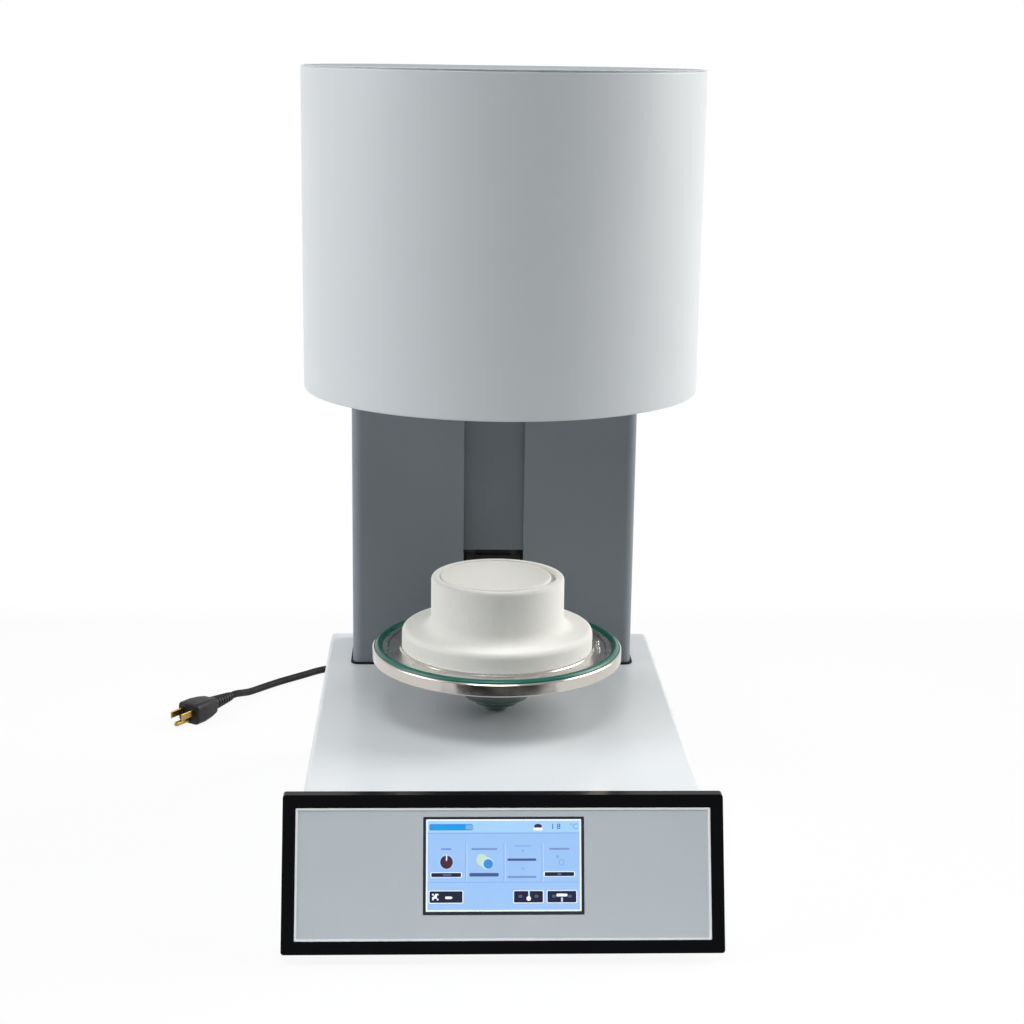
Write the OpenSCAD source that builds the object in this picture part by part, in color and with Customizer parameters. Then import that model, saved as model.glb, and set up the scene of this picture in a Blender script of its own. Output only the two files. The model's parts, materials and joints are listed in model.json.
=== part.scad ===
// Vacuum porcelain furnace for a dental laboratory. Sizes in millimetres.
// It stands on z = 0 with +Z up, and its display faces -Y. x = 0 is its middle plane.
// Most pieces are drawn from the muffle's axis and the top of the base, see from_axis().

/* [Base] */
// Width of the white base
base_w = 282; // [262:1:300]
// Height of the white base above the feet
base_h = 102; // [96:1:120]
// Muffle axis to the back of the base
axis_to_back = 202; // [200:1:230]
// Muffle axis to the back edge of the black front frame
axis_to_frame = 169; // [150:1:190]
// Thickness of the sheet metal
sheet_t = 1.5; // [1:0.1:2]
// Bend radius along the top edges of the base
base_edge_r = 4; // [2.5:0.5:8]
// Radius of the back corners of the base, seen from above
base_corner_r = 6; // [3:0.5:10]
// Lip round the rear panel
rear_lip = 12; // [11:0.5:16]
// Height of the side lips of the bottom tray
tray_lip = 14; // [8:1:20]
// Clearance between sheets that slide into each other
fit = 0.3; // [0.2:0.05:0.5]

/* [Feet] */
// Height of the rubber feet
foot_h = 8; // [6:0.5:12]
// Radius of a rubber foot
foot_r = 12; // [9:0.5:14]
// Distance of a foot from the side of the base
foot_from_side = 26; // [20:1:36]
// Distance of the rear feet from the back of the base
foot_from_back = 32; // [24:1:44]
// Distance of the front feet from the front of the tray
foot_from_front = 58; // [50:1:80]

/* [Front frame] */
// Width of the black front frame
frame_w = 309; // [304:1:320]
// Depth of the frame's flange from front to back
frame_depth = 7; // [6:0.5:10]
// How far the frame leans back from upright, in degrees
frame_lean = 21.3; // [15:0.1:26]
// Width of each side of the frame
frame_member = 9; // [7:0.5:12]
// Radius of the frame's outer corners
frame_r = 2; // [1:0.5:6]
// Depth of the spigot that enters the base
spigot_depth = 8; // [5:0.5:12]
// Wall of the spigot
spigot_t = 3; // [2:0.5:4]
// Ledge that the front panel sits on
ledge = 3; // [2:0.5:4]

/* [Front panel and display] */
// Thickness of the front panel
panel_t = 2; // [1.6:0.1:3]
// How deep the front panel lies behind the frame's face
panel_recess = 1; // [0.5:0.1:1.5]
// Width of the display glass
display_w = 112.6; // [100:0.2:120]
// Height of the display glass
display_h = 67.4; // [60:0.2:74]
// Distance from the top of the frame's window to the glass
display_drop = 6.3; // [5:0.1:10]
// Thickness of the display glass
glass_t = 1.1; // [0.7:0.1:1.4]
// How far the display module reaches past the glass on each side
module_margin = 2.5; // [1.5:0.5:3]
// Thickness of the display module
module_t = 6; // [4:0.5:9]
// Gap between the display module and the controller board
board_gap = 8; // [5:0.5:12]
// Thickness of the circuit boards
board_t = 1.6; // [1:0.1:2.4]

/* [Column] */
// Width of the grey lift column
column_w = 236; // [220:1:250]
// Depth of the column
column_d = 76; // [76:1:84]
// Height of the column above the base
column_h = 490; // [486:1:510]
// Muffle axis to the front of the column
axis_to_column = 116; // [112:1:118]
// Radius of the column's front edges
column_r = 8; // [4:0.5:12]
// Width of the slot for the lift arm
slot_w = 50; // [46:1:56]
// Depth of the lips along the slot
slot_lip = 4; // [3:0.5:5]
// Width of the returns that hold the column's back cover
column_return = 12; // [8:1:16]

/* [Slot cover strip] */
// Overlap of the strip behind each slot lip
strip_overlap = 3; // [2:0.5:4]
// Thickness of the strip
strip_t = 1.2; // [0.8:0.1:1.6]
// Height of the strip's lower edge above the base
strip_bottom = 99; // [97:1:104]
// How far the strip rises above the muffle's lower edge
strip_rise = 15; // [5:1:20]

/* [Muffle] */
// Outer radius of the muffle shell
muffle_r = 148; // [142:1:152]
// Height of the muffle shell
muffle_h = 235; // [228:1:245]
// Height of the muffle's lower edge above the base
muffle_bottom = 260.5; // [250:0.5:270]
// Thickness of the seal flange plate
flange_t = 8; // [6:0.5:12]
// How deep the seal flange lies inside the shell's lower edge
flange_recess = 1.5; // [1:0.1:3]
// Width of each bracket ear of the seal flange
ear_w = 24; // [18:1:26]
// Depth of the lid's rim
lid_rim = 12; // [8:1:18]

/* [Vacuum vessel] */
// Outer radius of the vacuum vessel
vessel_r = 104; // [100:1:106]
// Height of the vacuum vessel
vessel_h = 173; // [168:1:176]
// Wall of the vacuum vessel
vessel_t = 1.5; // [1:0.1:2]
// Thickness of the vessel's top plate
vessel_top_t = 2; // [1.5:0.1:3]
// Width of the vessel's foot flange
vessel_flange_w = 11; // [10:0.5:11.5]
// Thickness of the vessel's foot flange
vessel_flange_t = 5; // [4:0.5:7]

/* [Firing chamber] */
// Height of the wide throat above the seal flange's top
throat_h = 10; // [8:0.5:14]
// Clearance round the plinth's lower tier
throat_gap = 3.5; // [2:0.5:4]
// Clearance round the plinth's upper tier
chamber_gap = 4; // [3:0.5:5]
// Height of the lower insulation ring
lower_ring_h = 52; // [50:1:56]
// Inner radius of the quartz liner
liner_r = 50; // [46:1:52]
// Wall of the quartz liner
liner_t = 4; // [3:0.5:5]
// Height of the firing chamber
chamber_h = 66; // [62:1:72]
// Thickness of the sill under the liner
sill_t = 4; // [3:0.5:5]
// Thickness of the heater wire
wire_d = 2.4; // [1.6:0.1:3]
// Turns of the heater
heater_turns = 10; // [6:1:10]
// Distance from turn to turn of the heater
heater_pitch = 6; // [4:0.5:6.5]
// Diameter of the thermocouple's sheath
probe_d = 6; // [4:0.5:8]
// How far the thermocouple reaches into the chamber
probe_reach = 16; // [8:1:24]

/* [Platform] */
// Radius of the steel plate
plate_r = 97.5; // [94:0.5:99]
// Thickness of the steel plate
plate_t = 10; // [8:0.5:12]
// Height of the plate's top above the base
plate_top = 54.2; // [50:0.2:60]
// Radius of the seal ring's centre line
seal_r = 92.7; // [90:0.1:93]
// Thickness of the seal ring
seal_d = 6; // [5:0.2:7]
// How far the seal ring stands out of its groove
seal_proud = 2.2; // [1.5:0.1:2.5]
// Radius of the shallow pocket that holds the plinth
pocket_r = 85; // [80:0.5:87]
// Depth of the pocket
pocket_depth = 1; // [0.5:0.1:1.5]

/* [Firing plinth] */
// Radius of the lower tier
tier_low_r = 74.5; // [70:0.5:76]
// Height of the lower tier above the plate's top
tier_low_h = 15.7; // [13:0.1:17]
// Radius of the upper tier
tier_up_r = 51.8; // [48:0.2:53]
// Height of the plinth above the plate's top
plinth_h = 56.5; // [52:0.5:60]
// Radius of the fillet between the tiers
tier_fillet = 9; // [5:0.5:12]
// Radius of the rounded edges
tier_edge = 2; // [1:0.5:3]
// Radius of the recess for the tray
recess_r = 45.5; // [40:0.5:47]
// Depth of the recess for the tray
recess_depth = 3; // [2:0.5:4]
// Radius of the firing tray
tray_r = 43; // [36:0.5:44.5]
// Thickness of the firing tray
tray_t = 2.8; // [1:0.1:2.9]

/* [Cone nut] */
// Radii of the three steps, from the top
cone_radii = [26, 17.5, 9];
// Height of the top step
cone_collar = 11; // [9:0.5:12]
// Height of each lower step
cone_step = 5.6; // [4:0.1:6.1]
// Radius of its stud
stud_r = 6; // [4:0.5:8]

/* [Lift] */
// Distance between the guide rods
rod_gap = 64; // [58:1:68]
// Radius of a guide rod
rod_r = 8; // [6:0.5:9]
// Radius of the lead screw
screw_r = 6; // [5:0.5:7]
// Travel of the lead screw's nut in one turn
screw_lead = 10; // [4:1:20]
// Front of the column to the axis of the lead screw
column_to_screw = 29; // [28.5:0.1:30]
// Width of the carriage
carriage_w = 92; // [86:1:96]
// Bottom of the carriage above the base
carriage_bottom = 15; // [15:1:18]
// Height of the carriage
carriage_h = 80; // [72:1:80]
// Wall of the slide bushes
bush_t = 3; // [2:0.5:3.5]
// Length of a slide bush
bush_l = 24; // [16:1:30]
// Running clearance of the shafts and bushes
running = 0.05; // [0.03:0.01:0.08]
// Thickness of the arm's upright
upright_t = 8; // [6:0.5:8]
// Width of the arm in the slot
arm_w = 44; // [36:1:45]
// Height of the arm's underside above the base
arm_bottom = 24; // [22.5:0.5:27]
// Gap left above the closed seal ring
closing_gap = 0.3; // [0.3:0.1:1]

/* [Column frame] */
// Width of a square post
post_w = 24; // [20:1:26]
// Distance between the middles of the posts
post_gap = 152; // [146:1:160]
// Height of the posts
post_h = 440; // [400:5:450]
// Thickness of the spine plate
spine_t = 4; // [3:0.5:6]
// Height of the lower and upper blocks
block_h = 14; // [14:1:18]

/* [Lift motor] */
// Side of the square motor
motor_w = 56.4; // [50:0.2:58]
// Length of the motor
motor_l = 50; // [40:1:56]
// Radius of the motor's shaft
shaft_r = 4; // [3:0.5:4.5]
// Distance of the motor's face below the base's top
motor_drop = 30; // [28:1:34]

/* [Base fittings] */
// Width of the power supply
psu_w = 100; // [92:1:110]
// Depth of the power supply
psu_d = 78; // [72:1:84]
// Height of the power supply
psu_h = 38; // [34:1:42]
// Wall of the power supply's case
psu_wall = 1; // [0.8:0.1:2]
// Width of the heat sink
sink_w = 84; // [80:1:94]
// Depth of the heat sink
sink_d = 80; // [70:1:86]
// Thickness of the heat sink's plate
sink_t = 5; // [4:0.5:7]
// Height of the heat sink's fins
fin_h = 19; // [14:1:24]
// Thickness of a fin
fin_t = 2.4; // [1.6:0.2:3]

/* [Rear panel] */
// Side of the square fan
fan_w = 60; // [50:5:60]
// Thickness of the fan
fan_t = 25; // [20:1:25]
// Fan's middle, measured from the middle plane
fan_x = -85; // [-92:1:-80]
// Mains inlet's middle, measured from the middle plane
inlet_x = 90; // [88:1:96]
// Pump outlet's middle, measured from the middle plane
outlet_x = 0; // [-4:1:4]
// Power switch's middle, measured from the middle plane
switch_x = 45; // [42:1:48]
// Vacuum nipple's middle, measured from the middle plane
nipple_x = -40; // [-42:1:-38]
// Height of the rear panel's row of fittings below the base's top
row_drop = 52; // [46:1:54]
// Length of the vacuum nipple outside
nipple_l = 20; // [14:1:28]
// Radius of the vacuum nipple's stem
nipple_r = 4; // [3:0.5:5]
// Travel of the power switch, in degrees
rocker_throw = 22; // [14:1:26]

/* [Vacuum line] */
// Outer diameter of the hose
hose_d = 8; // [6:0.5:9]
// Bore of the hose
hose_bore = 5; // [3:0.5:5]
// Radius of the hose's bends
hose_bend = 14; // [12:1:18]
// Hose's distance from the middle plane
hose_x = 72; // [68:1:76]

/* [Mains lead] */
// Diameter of the lead
cord_d = 6.8; // [6:0.2:8]
// Radius of the stored coil at its outermost turn
coil_r = 49; // [48:0.5:56]
// Gap between neighbouring turns
turn_gap = 0.6; // [0.5:0.1:1.2]
// Length of the connector outside the inlet
connector_l = 15; // [12:1:20]
// Length of the strain reliefs
relief_l = 28; // [22:1:40]
// Length of the plug's body
plug_l = 32; // [26:1:40]

/* [Hidden] */
$fn = 72;
e = 1; // overshoot of a cut past a face

// Reach of the whole part in front of and behind the muffle's axis, without the mains lead.
frame_run = tan(frame_lean) * base_h;
front_reach = axis_to_frame + frame_depth + frame_run;
back_reach = axis_to_back + nipple_l;
axis_y = (front_reach - back_reach) / 2;
base_top = foot_h + base_h;

// Front frame's slanted face: its length, and the window in it.
face_len = base_h / cos(frame_lean);
window_w = frame_w - 2 * frame_member;
window_h = face_len - 2 * frame_member;
display_y = window_h / 2 - display_drop - display_h / 2;
module_w = display_w + 2 * module_margin;
module_h = display_h + 2 * module_margin;
board_back = panel_recess + panel_t + module_t + board_gap;
board_w = module_w + 16;
board_h = module_h;

// Rear panel, seen from behind: it lies inside the lip.
rear_out = axis_to_back - sheet_t;
rear_in = rear_out - sheet_t;
row_z = -row_drop;

// Column.
col_in = axis_to_column + sheet_t;
col_back = axis_to_column + column_d;
screw_y = axis_to_column + column_to_screw;
rod_x = rod_gap / 2;
arm_y = axis_to_column + 2;
carriage_front = arm_y + upright_t;
carriage_back = screw_y + 15;
carriage_top = carriage_bottom + carriage_h;
strip_front = axis_to_column + slot_lip + 1;
strip_back = strip_front + strip_t;
strip_w = slot_w + 2 * strip_overlap;
strip_top = muffle_bottom + strip_rise;
spine_front = carriage_back + 2;
post_x = post_gap / 2;
post_front = spine_front - post_w;
block_front = carriage_front + 3.5;
nut_flange_t = 6;

// Travel of the lift: until the seal ring all but meets the seal flange.
flange_z = muffle_bottom + flange_recess;
flange_top = flange_z + flange_t;
lift_travel = flange_z - plate_top - seal_proud - closing_gap;
upper_block = carriage_top + nut_flange_t + lift_travel + 4;
rod_top = upper_block + block_h;
slot_top = carriage_top + lift_travel + 6;
screw_turns = lift_travel / screw_lead;

// Muffle and chamber.
muffle_top = muffle_bottom + muffle_h;
shell_in = muffle_r - sheet_t;
vessel_top = flange_top + vessel_h;
chamber_foot = flange_top + lower_ring_h;
chamber_top = chamber_foot + chamber_h;
fibre_r = vessel_r - vessel_t - fit;
heater_r = liner_r + liner_t + 0.3 + wire_d / 2;
heater_space = heater_r + wire_d / 2 + 0.3;
throat_r = tier_low_r + throat_gap;
probe_top = vessel_top + 16;
hose_y = col_back - 3 * sheet_t - hose_d / 2 - 2;
port_y = 60;
port_top = vessel_top + 10;
hose_top = port_top + 9 + hose_bend;

echo(lift_travel_mm = lift_travel, screw_turns = screw_turns, axis_y = axis_y);

// Draws its children from the muffle's axis and the base's top.
module from_axis() {
    translate([0, axis_y, base_top]) children();
}

// Draws its children on the front frame's face: x to the right, y up the slope, z outwards.
module on_face() {
    from_axis()
        translate([0, -axis_to_frame - frame_depth - frame_run / 2, -base_h / 2])
            rotate([90 - frame_lean, 0, 0]) children();
}

// Draws its children on the rear panel at x and z: local z points out of the panel.
module on_rear(x, z) {
    from_axis() translate([x, rear_out, z]) rotate([-90, 0, 0]) children();
}

module rounded_rect(w, h, r) {
    square([w - 2 * r, h], center = true);
    square([w, h - 2 * r], center = true);
    for (i = [-1, 1], j = [-1, 1])
        translate([i * (w / 2 - r), j * (h / 2 - r)]) circle(r);
}

module box(w, d, h) {
    translate([-w / 2, -d / 2, 0]) cube([w, d, h]);
}

module tube(outer, inner, h) {
    difference() {
        cylinder(h = h, r = outer);
        translate([0, 0, -e]) cylinder(h = h + 2 * e, r = inner);
    }
}

// A rectangle in plan from y0 to y1 whose back corners are rounded.
module back_rounded(w, y0, y1, r) {
    translate([-w / 2, y0]) square([w, y1 - y0 - r]);
    translate([-w / 2 + r, y0]) square([w - 2 * r, y1 - y0]);
    for (i = [-1, 1]) translate([i * (w / 2 - r), y1 - r]) circle(r);
}

// The base's outer shape, made smaller by i all round, and open in front and below.
module base_block(i) {
    intersection() {
        translate([0, axis_to_back + e, 0]) rotate([90, 0, 0])
            linear_extrude(axis_to_back + front_reach)
                translate([0, -base_h - e]) {
                    square([base_w - 2 * i, 2 * (base_h + e - base_edge_r)], center = true);
                    translate([0, (base_h + e - i) / 2])
                        square([base_w - 2 * base_edge_r, base_h + e - i], center = true);
                    for (s = [-1, 1])
                        translate([s * (base_w / 2 - base_edge_r), base_h + e - base_edge_r])
                            circle(base_edge_r - i);
                }
        translate([0, 0, -base_h - e]) linear_extrude(base_h + 2 * e)
            back_rounded(base_w - 2 * i, -front_reach, axis_to_back - i, base_corner_r - i);
    }
}

// Side view of the base from the frame's back face, as a slab across the whole width.
module base_side(forward, w) {
    rotate([90, 0, 90]) translate([0, 0, -w / 2]) linear_extrude(w)
        polygon([
            [forward - axis_to_frame, 0], [axis_to_back, 0], [axis_to_back, -base_h],
            [forward - axis_to_frame - frame_run, -base_h]
        ]);
}

module base_cover() {
    color("white") from_axis() difference() {
        intersection() {
            base_block(0);
            base_side(0, base_w + 2 * e);
        }
        base_block(sheet_t);
        translate([rear_lip - base_w / 2, rear_out - e, -base_h - e])
            cube([base_w - 2 * rear_lip, 3 * e + sheet_t, base_h + e - rear_lip]);
        translate([0, screw_y, -2 * sheet_t]) cylinder(h = 3 * sheet_t, r = screw_r + 2);
        translate([hose_x, hose_y, -2 * sheet_t]) cylinder(h = 3 * sheet_t, r = hose_d / 2 + 1);
        translate([-post_x, hose_y, -2 * sheet_t]) cylinder(h = 3 * sheet_t, r = 7);
    }
}

module bottom_tray() {
    tray_w = base_w - 2 * sheet_t - 2 * fit;
    lip_front = -axis_to_frame - frame_run + spigot_depth + tray_lip / 2 + 2;
    color("silver") from_axis() difference() {
        union() {
            intersection() {
                translate([-tray_w / 2, -front_reach, -base_h])
                    cube([tray_w, front_reach + axis_to_back, sheet_t]);
                base_side(0, base_w);
                base_block(sheet_t + fit);
            }
            for (s = [-1, 1])
                translate([s * (tray_w - sheet_t) / 2 - sheet_t / 2, lip_front, -base_h])
                    cube([sheet_t, axis_to_back - base_corner_r - fit - lip_front, tray_lip]);
        }
        for (s = [-1, 1], k = [0:7])
            translate([s * 66, -70 + 10 * k, -base_h - e]) linear_extrude(sheet_t + 2 * e)
                rounded_rect(56, 3, 1.4);
        foot_places() translate([0, 0, -e]) cylinder(h = sheet_t + 2 * e, r = 2.1);
    }
}

// The four places of the feet, on the underside of the tray.
module foot_places() {
    fx = base_w / 2 - foot_from_side;
    fronts = [-axis_to_frame - frame_run + foot_from_front, axis_to_back - foot_from_back];
    for (s = [-1, 1], y = fronts) translate([s * fx, y, -base_h]) children();
}

module rubber_feet() {
    color("black") from_axis() foot_places() mirror([0, 0, 1]) difference() {
        cylinder(h = foot_h, r = foot_r);
        translate([0, 0, 3]) cylinder(h = foot_h, r = 5);
        translate([0, 0, -e]) cylinder(h = foot_h, r = 2.1);
    }
}

module rear_panel() {
    panel_w = base_w - 2 * base_corner_r - 1;
    color("whitesmoke") from_axis() difference() {
        translate([-panel_w / 2, rear_in, sheet_t + fit - base_h])
            cube([panel_w, sheet_t, base_h - 2 * sheet_t - 2 * fit]);
        translate([fan_x, rear_in - e, row_z]) rotate([-90, 0, 0])
            cylinder(h = sheet_t + 2 * e, r = fan_w / 2 - 2);
        for (x = [inlet_x, outlet_x])
            translate([x - 13.8, rear_in - e, row_z - 10.3]) cube([27.6, sheet_t + 2 * e, 20.6]);
        translate([switch_x - 9.6, rear_in - e, row_z - 13.1]) cube([19.2, sheet_t + 2 * e, 26.2]);
        translate([nipple_x, rear_in - e, row_z]) rotate([-90, 0, 0])
            cylinder(h = sheet_t + 2 * e, r = nipple_r + 1.1);
        fuse_places() translate([0, 0, -e - sheet_t]) cylinder(h = sheet_t + 2 * e, r = 6.1);
    }
}

module fuse_places() {
    for (s = [0, 1]) translate([inlet_x + 24 * s, rear_out, row_z + 27])
        rotate([-90, 0, 0]) children();
}

module front_frame() {
    color([0.07, 0.07, 0.08]) difference() {
        union() {
            from_axis() intersection() {
                frame_slab(-frame_depth, 0);
                translate([0, 0, -base_h / 2]) rotate([90, 0, 0])
                    translate([0, 0, -axis_to_back]) linear_extrude(axis_to_back + front_reach + e)
                        rounded_rect(frame_w, base_h, frame_r);
            }
            from_axis() intersection() {
                frame_slab(0, spigot_depth);
                translate([0, 0, -base_h / 2]) rotate([90, 0, 0])
                    translate([0, 0, -axis_to_back]) linear_extrude(axis_to_back + front_reach + e)
                        rounded_rect(base_w - 2 * sheet_t - 2 * fit, base_h - 2 * sheet_t - 2 * fit,
                            base_edge_r - sheet_t);
            }
        }
        on_face() translate([0, 0, -panel_recess - panel_t])
            box(window_w, window_h, frame_depth);
        on_face() translate([0, 0, -frame_depth - 2 * spigot_depth])
            box(base_w - 2 * sheet_t - 2 * fit - 2 * spigot_t, window_h - 2 * ledge,
                2 * (frame_depth + 2 * spigot_depth));
    }
}

// A slab across the furnace, parallel to the frame's face, from y0 to y1 behind its back face.
module frame_slab(y0, y1) {
    rotate([90, 0, 90]) translate([0, 0, -frame_w]) linear_extrude(2 * frame_w)
        polygon([
            [y0 - axis_to_frame, 0], [y1 - axis_to_frame, 0],
            [y1 - axis_to_frame - frame_run, -base_h], [y0 - axis_to_frame - frame_run, -base_h]
        ]);
}

module front_panel() {
    color([0.72, 0.74, 0.76]) on_face() difference() {
        translate([0, 0, -panel_recess - panel_t])
            linear_extrude(panel_t) rounded_rect(window_w - fit, window_h - fit, 1);
        translate([0, display_y, -panel_recess - panel_t - e])
            box(display_w + fit, display_h + fit, panel_t + 2 * e);
    }
}

module display_glass() {
    color([0.1, 0.14, 0.25]) on_face()
        translate([0, display_y, -panel_recess - glass_t])
            linear_extrude(glass_t) rounded_rect(display_w, display_h, 0.8);
}

module display_module() {
    back = panel_recess + panel_t;
    color("silver") on_face() translate([0, display_y, 0]) {
        translate([0, 0, -back - module_t]) box(module_w, module_h, module_t);
        translate([0, 0, -back - e]) box(display_w - 1, display_h - 1, panel_t - glass_t + e);
        for (i = [-1, 1], j = [-1, 1])
            translate([i * (module_w / 2 - 6), j * (module_h / 2 - 6), -board_back])
                cylinder(h = board_gap + e, r = 3, $fn = 6);
    }
}

module controller_board() {
    color("darkgreen") on_face() {
        translate([0, display_y, -board_back - board_t]) box(board_w, board_h, board_t);
        translate([-30, display_y + 8, -board_back - board_t - 3]) box(28, 28, 3 + board_t / 2);
        translate([22, display_y + 14, -board_back - board_t - 10]) box(36, 12, 10 + board_t / 2);
        translate([30, display_y - 16, -board_back - board_t - 12]) box(30, 14, 12 + board_t / 2);
        for (k = [0:3])
            translate([14 * k - 44, display_y - 22, -board_back - board_t - 10])
                cylinder(h = 10 + board_t / 2, r = 4);
    }
}

module power_supply() {
    color("lightgray") from_axis() translate([-78, -20, sheet_t - base_h]) difference() {
        box(psu_w, psu_d, psu_h);
        translate([0, 0, psu_wall])
            box(psu_w - 2 * psu_wall, psu_d - 2 * psu_wall, psu_h - 2 * psu_wall);
        for (i = [-4:4], j = [-3:3])
            translate([psu_w / 10 * i, psu_w / 10 * j, psu_h / 2]) cylinder(h = psu_h, r = 3);
        translate([30, -psu_d / 2, 8]) box(34, 6, 20);
    }
}

module heat_sink() {
    color("dimgray") from_axis() translate([78, -20, sheet_t - base_h]) {
        box(sink_w, sink_d, sink_t);
        for (k = [-5:5]) if (abs(k) > 2)
            translate([(sink_w - 8) / 10 * k, 0, sink_t - e]) box(fin_t, sink_d, fin_h + e);
    }
}

module relay() {
    color("ivory") from_axis() translate([78, -20, sheet_t - base_h + sink_t]) difference() {
        box(30, 58, 24);
        for (j = [-1, 1]) translate([0, 22 * j, 18]) box(20, 9, 8);
    }
}

// A mains socket set in the rear panel: body, flange and the cavity that takes a connector.
module socket_body() {
    difference() {
        union() {
            translate([0, 0, -sheet_t - 18]) box(27, 20, 18 + sheet_t + e);
            linear_extrude(2.5) rounded_rect(48, 23, 3);
        }
        translate([0, 0, -14.5]) linear_extrude(20) rounded_rect(24.5, 16.5, 1.5);
        for (s = [-1, 1]) translate([20 * s, 0, -e]) cylinder(h = 5, r = 1.7);
    }
}

module mains_inlet() {
    color([0.12, 0.12, 0.13]) {
        on_rear(inlet_x, row_z) {
            socket_body();
            for (p = [[-7, 2], [0, -2], [7, 2]]) translate([p[0], p[1], -15]) box(2, 4, 12);
        }
        from_axis() fuse_places() {
            translate([0, 0, -30]) cylinder(h = 31, r = 6);
            cylinder(h = 2, r = 7.5);
            difference() {
                cylinder(h = 9, r = 5.6);
                translate([0, 0, 7.5]) box(7, 1.2, 3);
            }
        }
    }
}

module pump_outlet() {
    color([0.12, 0.12, 0.13]) on_rear(outlet_x, row_z) {
        socket_body();
        difference() {
            translate([0, 0, -15]) linear_extrude(16) rounded_rect(20, 12, 1.5);
            for (p = [[-7, 1], [0, -1], [7, 1]]) translate([p[0], p[1], -13]) box(2.4, 5, 16);
        }
    }
}

rocker_r = 12;
rocker_w = 15;
rocker_pivot = 3;

module switch_housing() {
    color([0.1, 0.1, 0.11]) on_rear(switch_x, row_z) difference() {
        union() {
            translate([0, 0, -sheet_t - 16]) box(18.8, 25.8, 16 + sheet_t + e);
            linear_extrude(2) rounded_rect(22, 30, 1.5);
        }
        translate([0, 0, -rocker_pivot]) rotate([0, 90, 0])
            cylinder(h = rocker_w + 2 * fit, r = rocker_r + fit, center = true);
        translate([0, 0, -rocker_pivot])
            box(rocker_w + 2 * fit, 2 * (rocker_r + fit), 20);
        translate([0, 0, -rocker_pivot]) rotate([0, 90, 0])
            cylinder(h = 17.2, r = 1.5 + running, center = true);
    }
}

module switch_rocker() {
    color([0.14, 0.14, 0.15]) on_rear(switch_x, row_z) translate([0, 0, -rocker_pivot]) {
        rotate([0, 90, 0]) cylinder(h = 17, r = 1.5, center = true);
        rotate([rocker_throw / 2, 0, 0]) difference() {
            rotate([0, 90, 0]) cylinder(h = rocker_w, r = rocker_r, center = true);
            for (s = [-1, 1]) rotate([s * rocker_throw / 2, 0, 0])
                translate([0, 10 * s, 6]) box(20, 20, 20);
        }
    }
}

module fan_frame() {
    color([0.13, 0.13, 0.14]) on_rear(fan_x, row_z) translate([0, 0, -sheet_t - fan_t])
        difference() {
            linear_extrude(fan_t) rounded_rect(fan_w, fan_w, 4);
            difference() {
                translate([0, 0, -e]) cylinder(h = fan_t + 2 * e, r = fan_w / 2 - 2);
                translate([0, 0, -2 * e]) cylinder(h = 6 + 2 * e, r = 10);
                for (a = [0, 120, 240]) rotate(a) translate([0, -2, -2 * e])
                    cube([fan_w / 2, 4, 3 + 2 * e]);
            }
            translate([0, 0, 2]) cylinder(h = 10, r = 2 + running);
        }
}

module fan_rotor() {
    color([0.2, 0.2, 0.21]) on_rear(fan_x, row_z) translate([0, 0, -sheet_t - fan_t]) {
        translate([0, 0, 2.2]) cylinder(h = 8, r = 2);
        translate([0, 0, 7]) cylinder(h = fan_t - 9, r = 12);
        intersection() {
            cylinder(h = fan_t, r = fan_w / 2 - 3.5);
            for (k = [0:6]) rotate(360 / 7 * k) translate([10, 0, fan_t / 2 + 2.5])
                rotate([35, 0, 0]) translate([0, -8, -0.8]) cube([fan_w / 2, 16, 1.6]);
        }
    }
}

module fan_guard() {
    color("silver") on_rear(fan_x, row_z) {
        for (r = [10, 18, 26]) tube(r + 1, r - 1, 2);
        for (a = [45, 135]) rotate(a) box(2 * 35, 3, 2);
        cylinder(h = 2, r = 5);
    }
}

module vacuum_nipple() {
    color("goldenrod") on_rear(nipple_x, row_z) difference() {
        union() {
            translate([0, 0, -sheet_t - 22]) cylinder(h = 22 + sheet_t + nipple_l + sheet_t, r = nipple_r);
            cylinder(h = 6, r = nipple_r + 4, $fn = 6);
            translate([0, 0, -sheet_t - 5]) cylinder(h = 5, r = nipple_r + 4, $fn = 6);
        }
        translate([0, 0, -sheet_t - 30]) cylinder(h = 80, r = nipple_r - 1.5);
    }
}

// Vacuum valve: its block stands on the tray under the column, below the hose.
valve_z = -62;

module vacuum_valve() {
    color("goldenrod") from_axis() translate([hose_x, hose_y, 0]) {
        translate([0, 0, sheet_t - base_h]) box(26, 20, valve_z + base_h - sheet_t);
        translate([0, 0, valve_z - e]) cylinder(h = 10 + e, r = hose_bore / 2 - 0.02);
        translate([0, -22, sheet_t - base_h + 4]) box(24, 26, 24);
        translate([-26, 0, sheet_t - base_h + 6]) box(28, 16, 14);
    }
}

// A straight hose along z, and a quarter bend from +z to -y.
module hose_run(l) {
    tube(hose_d / 2, hose_bore / 2, l);
}

module hose_turn() {
    translate([0, -hose_bend, 0]) rotate([90, 0, 90]) rotate_extrude(angle = 90)
        translate([hose_bend, 0]) difference() {
            circle(hose_d / 2);
            circle(hose_bore / 2);
        }
}

module vacuum_hose() {
    rise = hose_top - hose_bend;
    color([0.25, 0.25, 0.27]) from_axis() translate([hose_x, hose_y, 0]) {
        translate([0, 0, valve_z]) hose_run(rise - valve_z);
        translate([0, 0, rise]) hose_turn();
        translate([0, -hose_bend, hose_top]) rotate([90, 0, 0])
            hose_run(hose_y - port_y - 2 * hose_bend);
        translate([0, port_y - hose_y, rise]) mirror([0, 1, 0]) hose_turn();
        translate([0, port_y - hose_y, port_top]) hose_run(9);
    }
}

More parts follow.
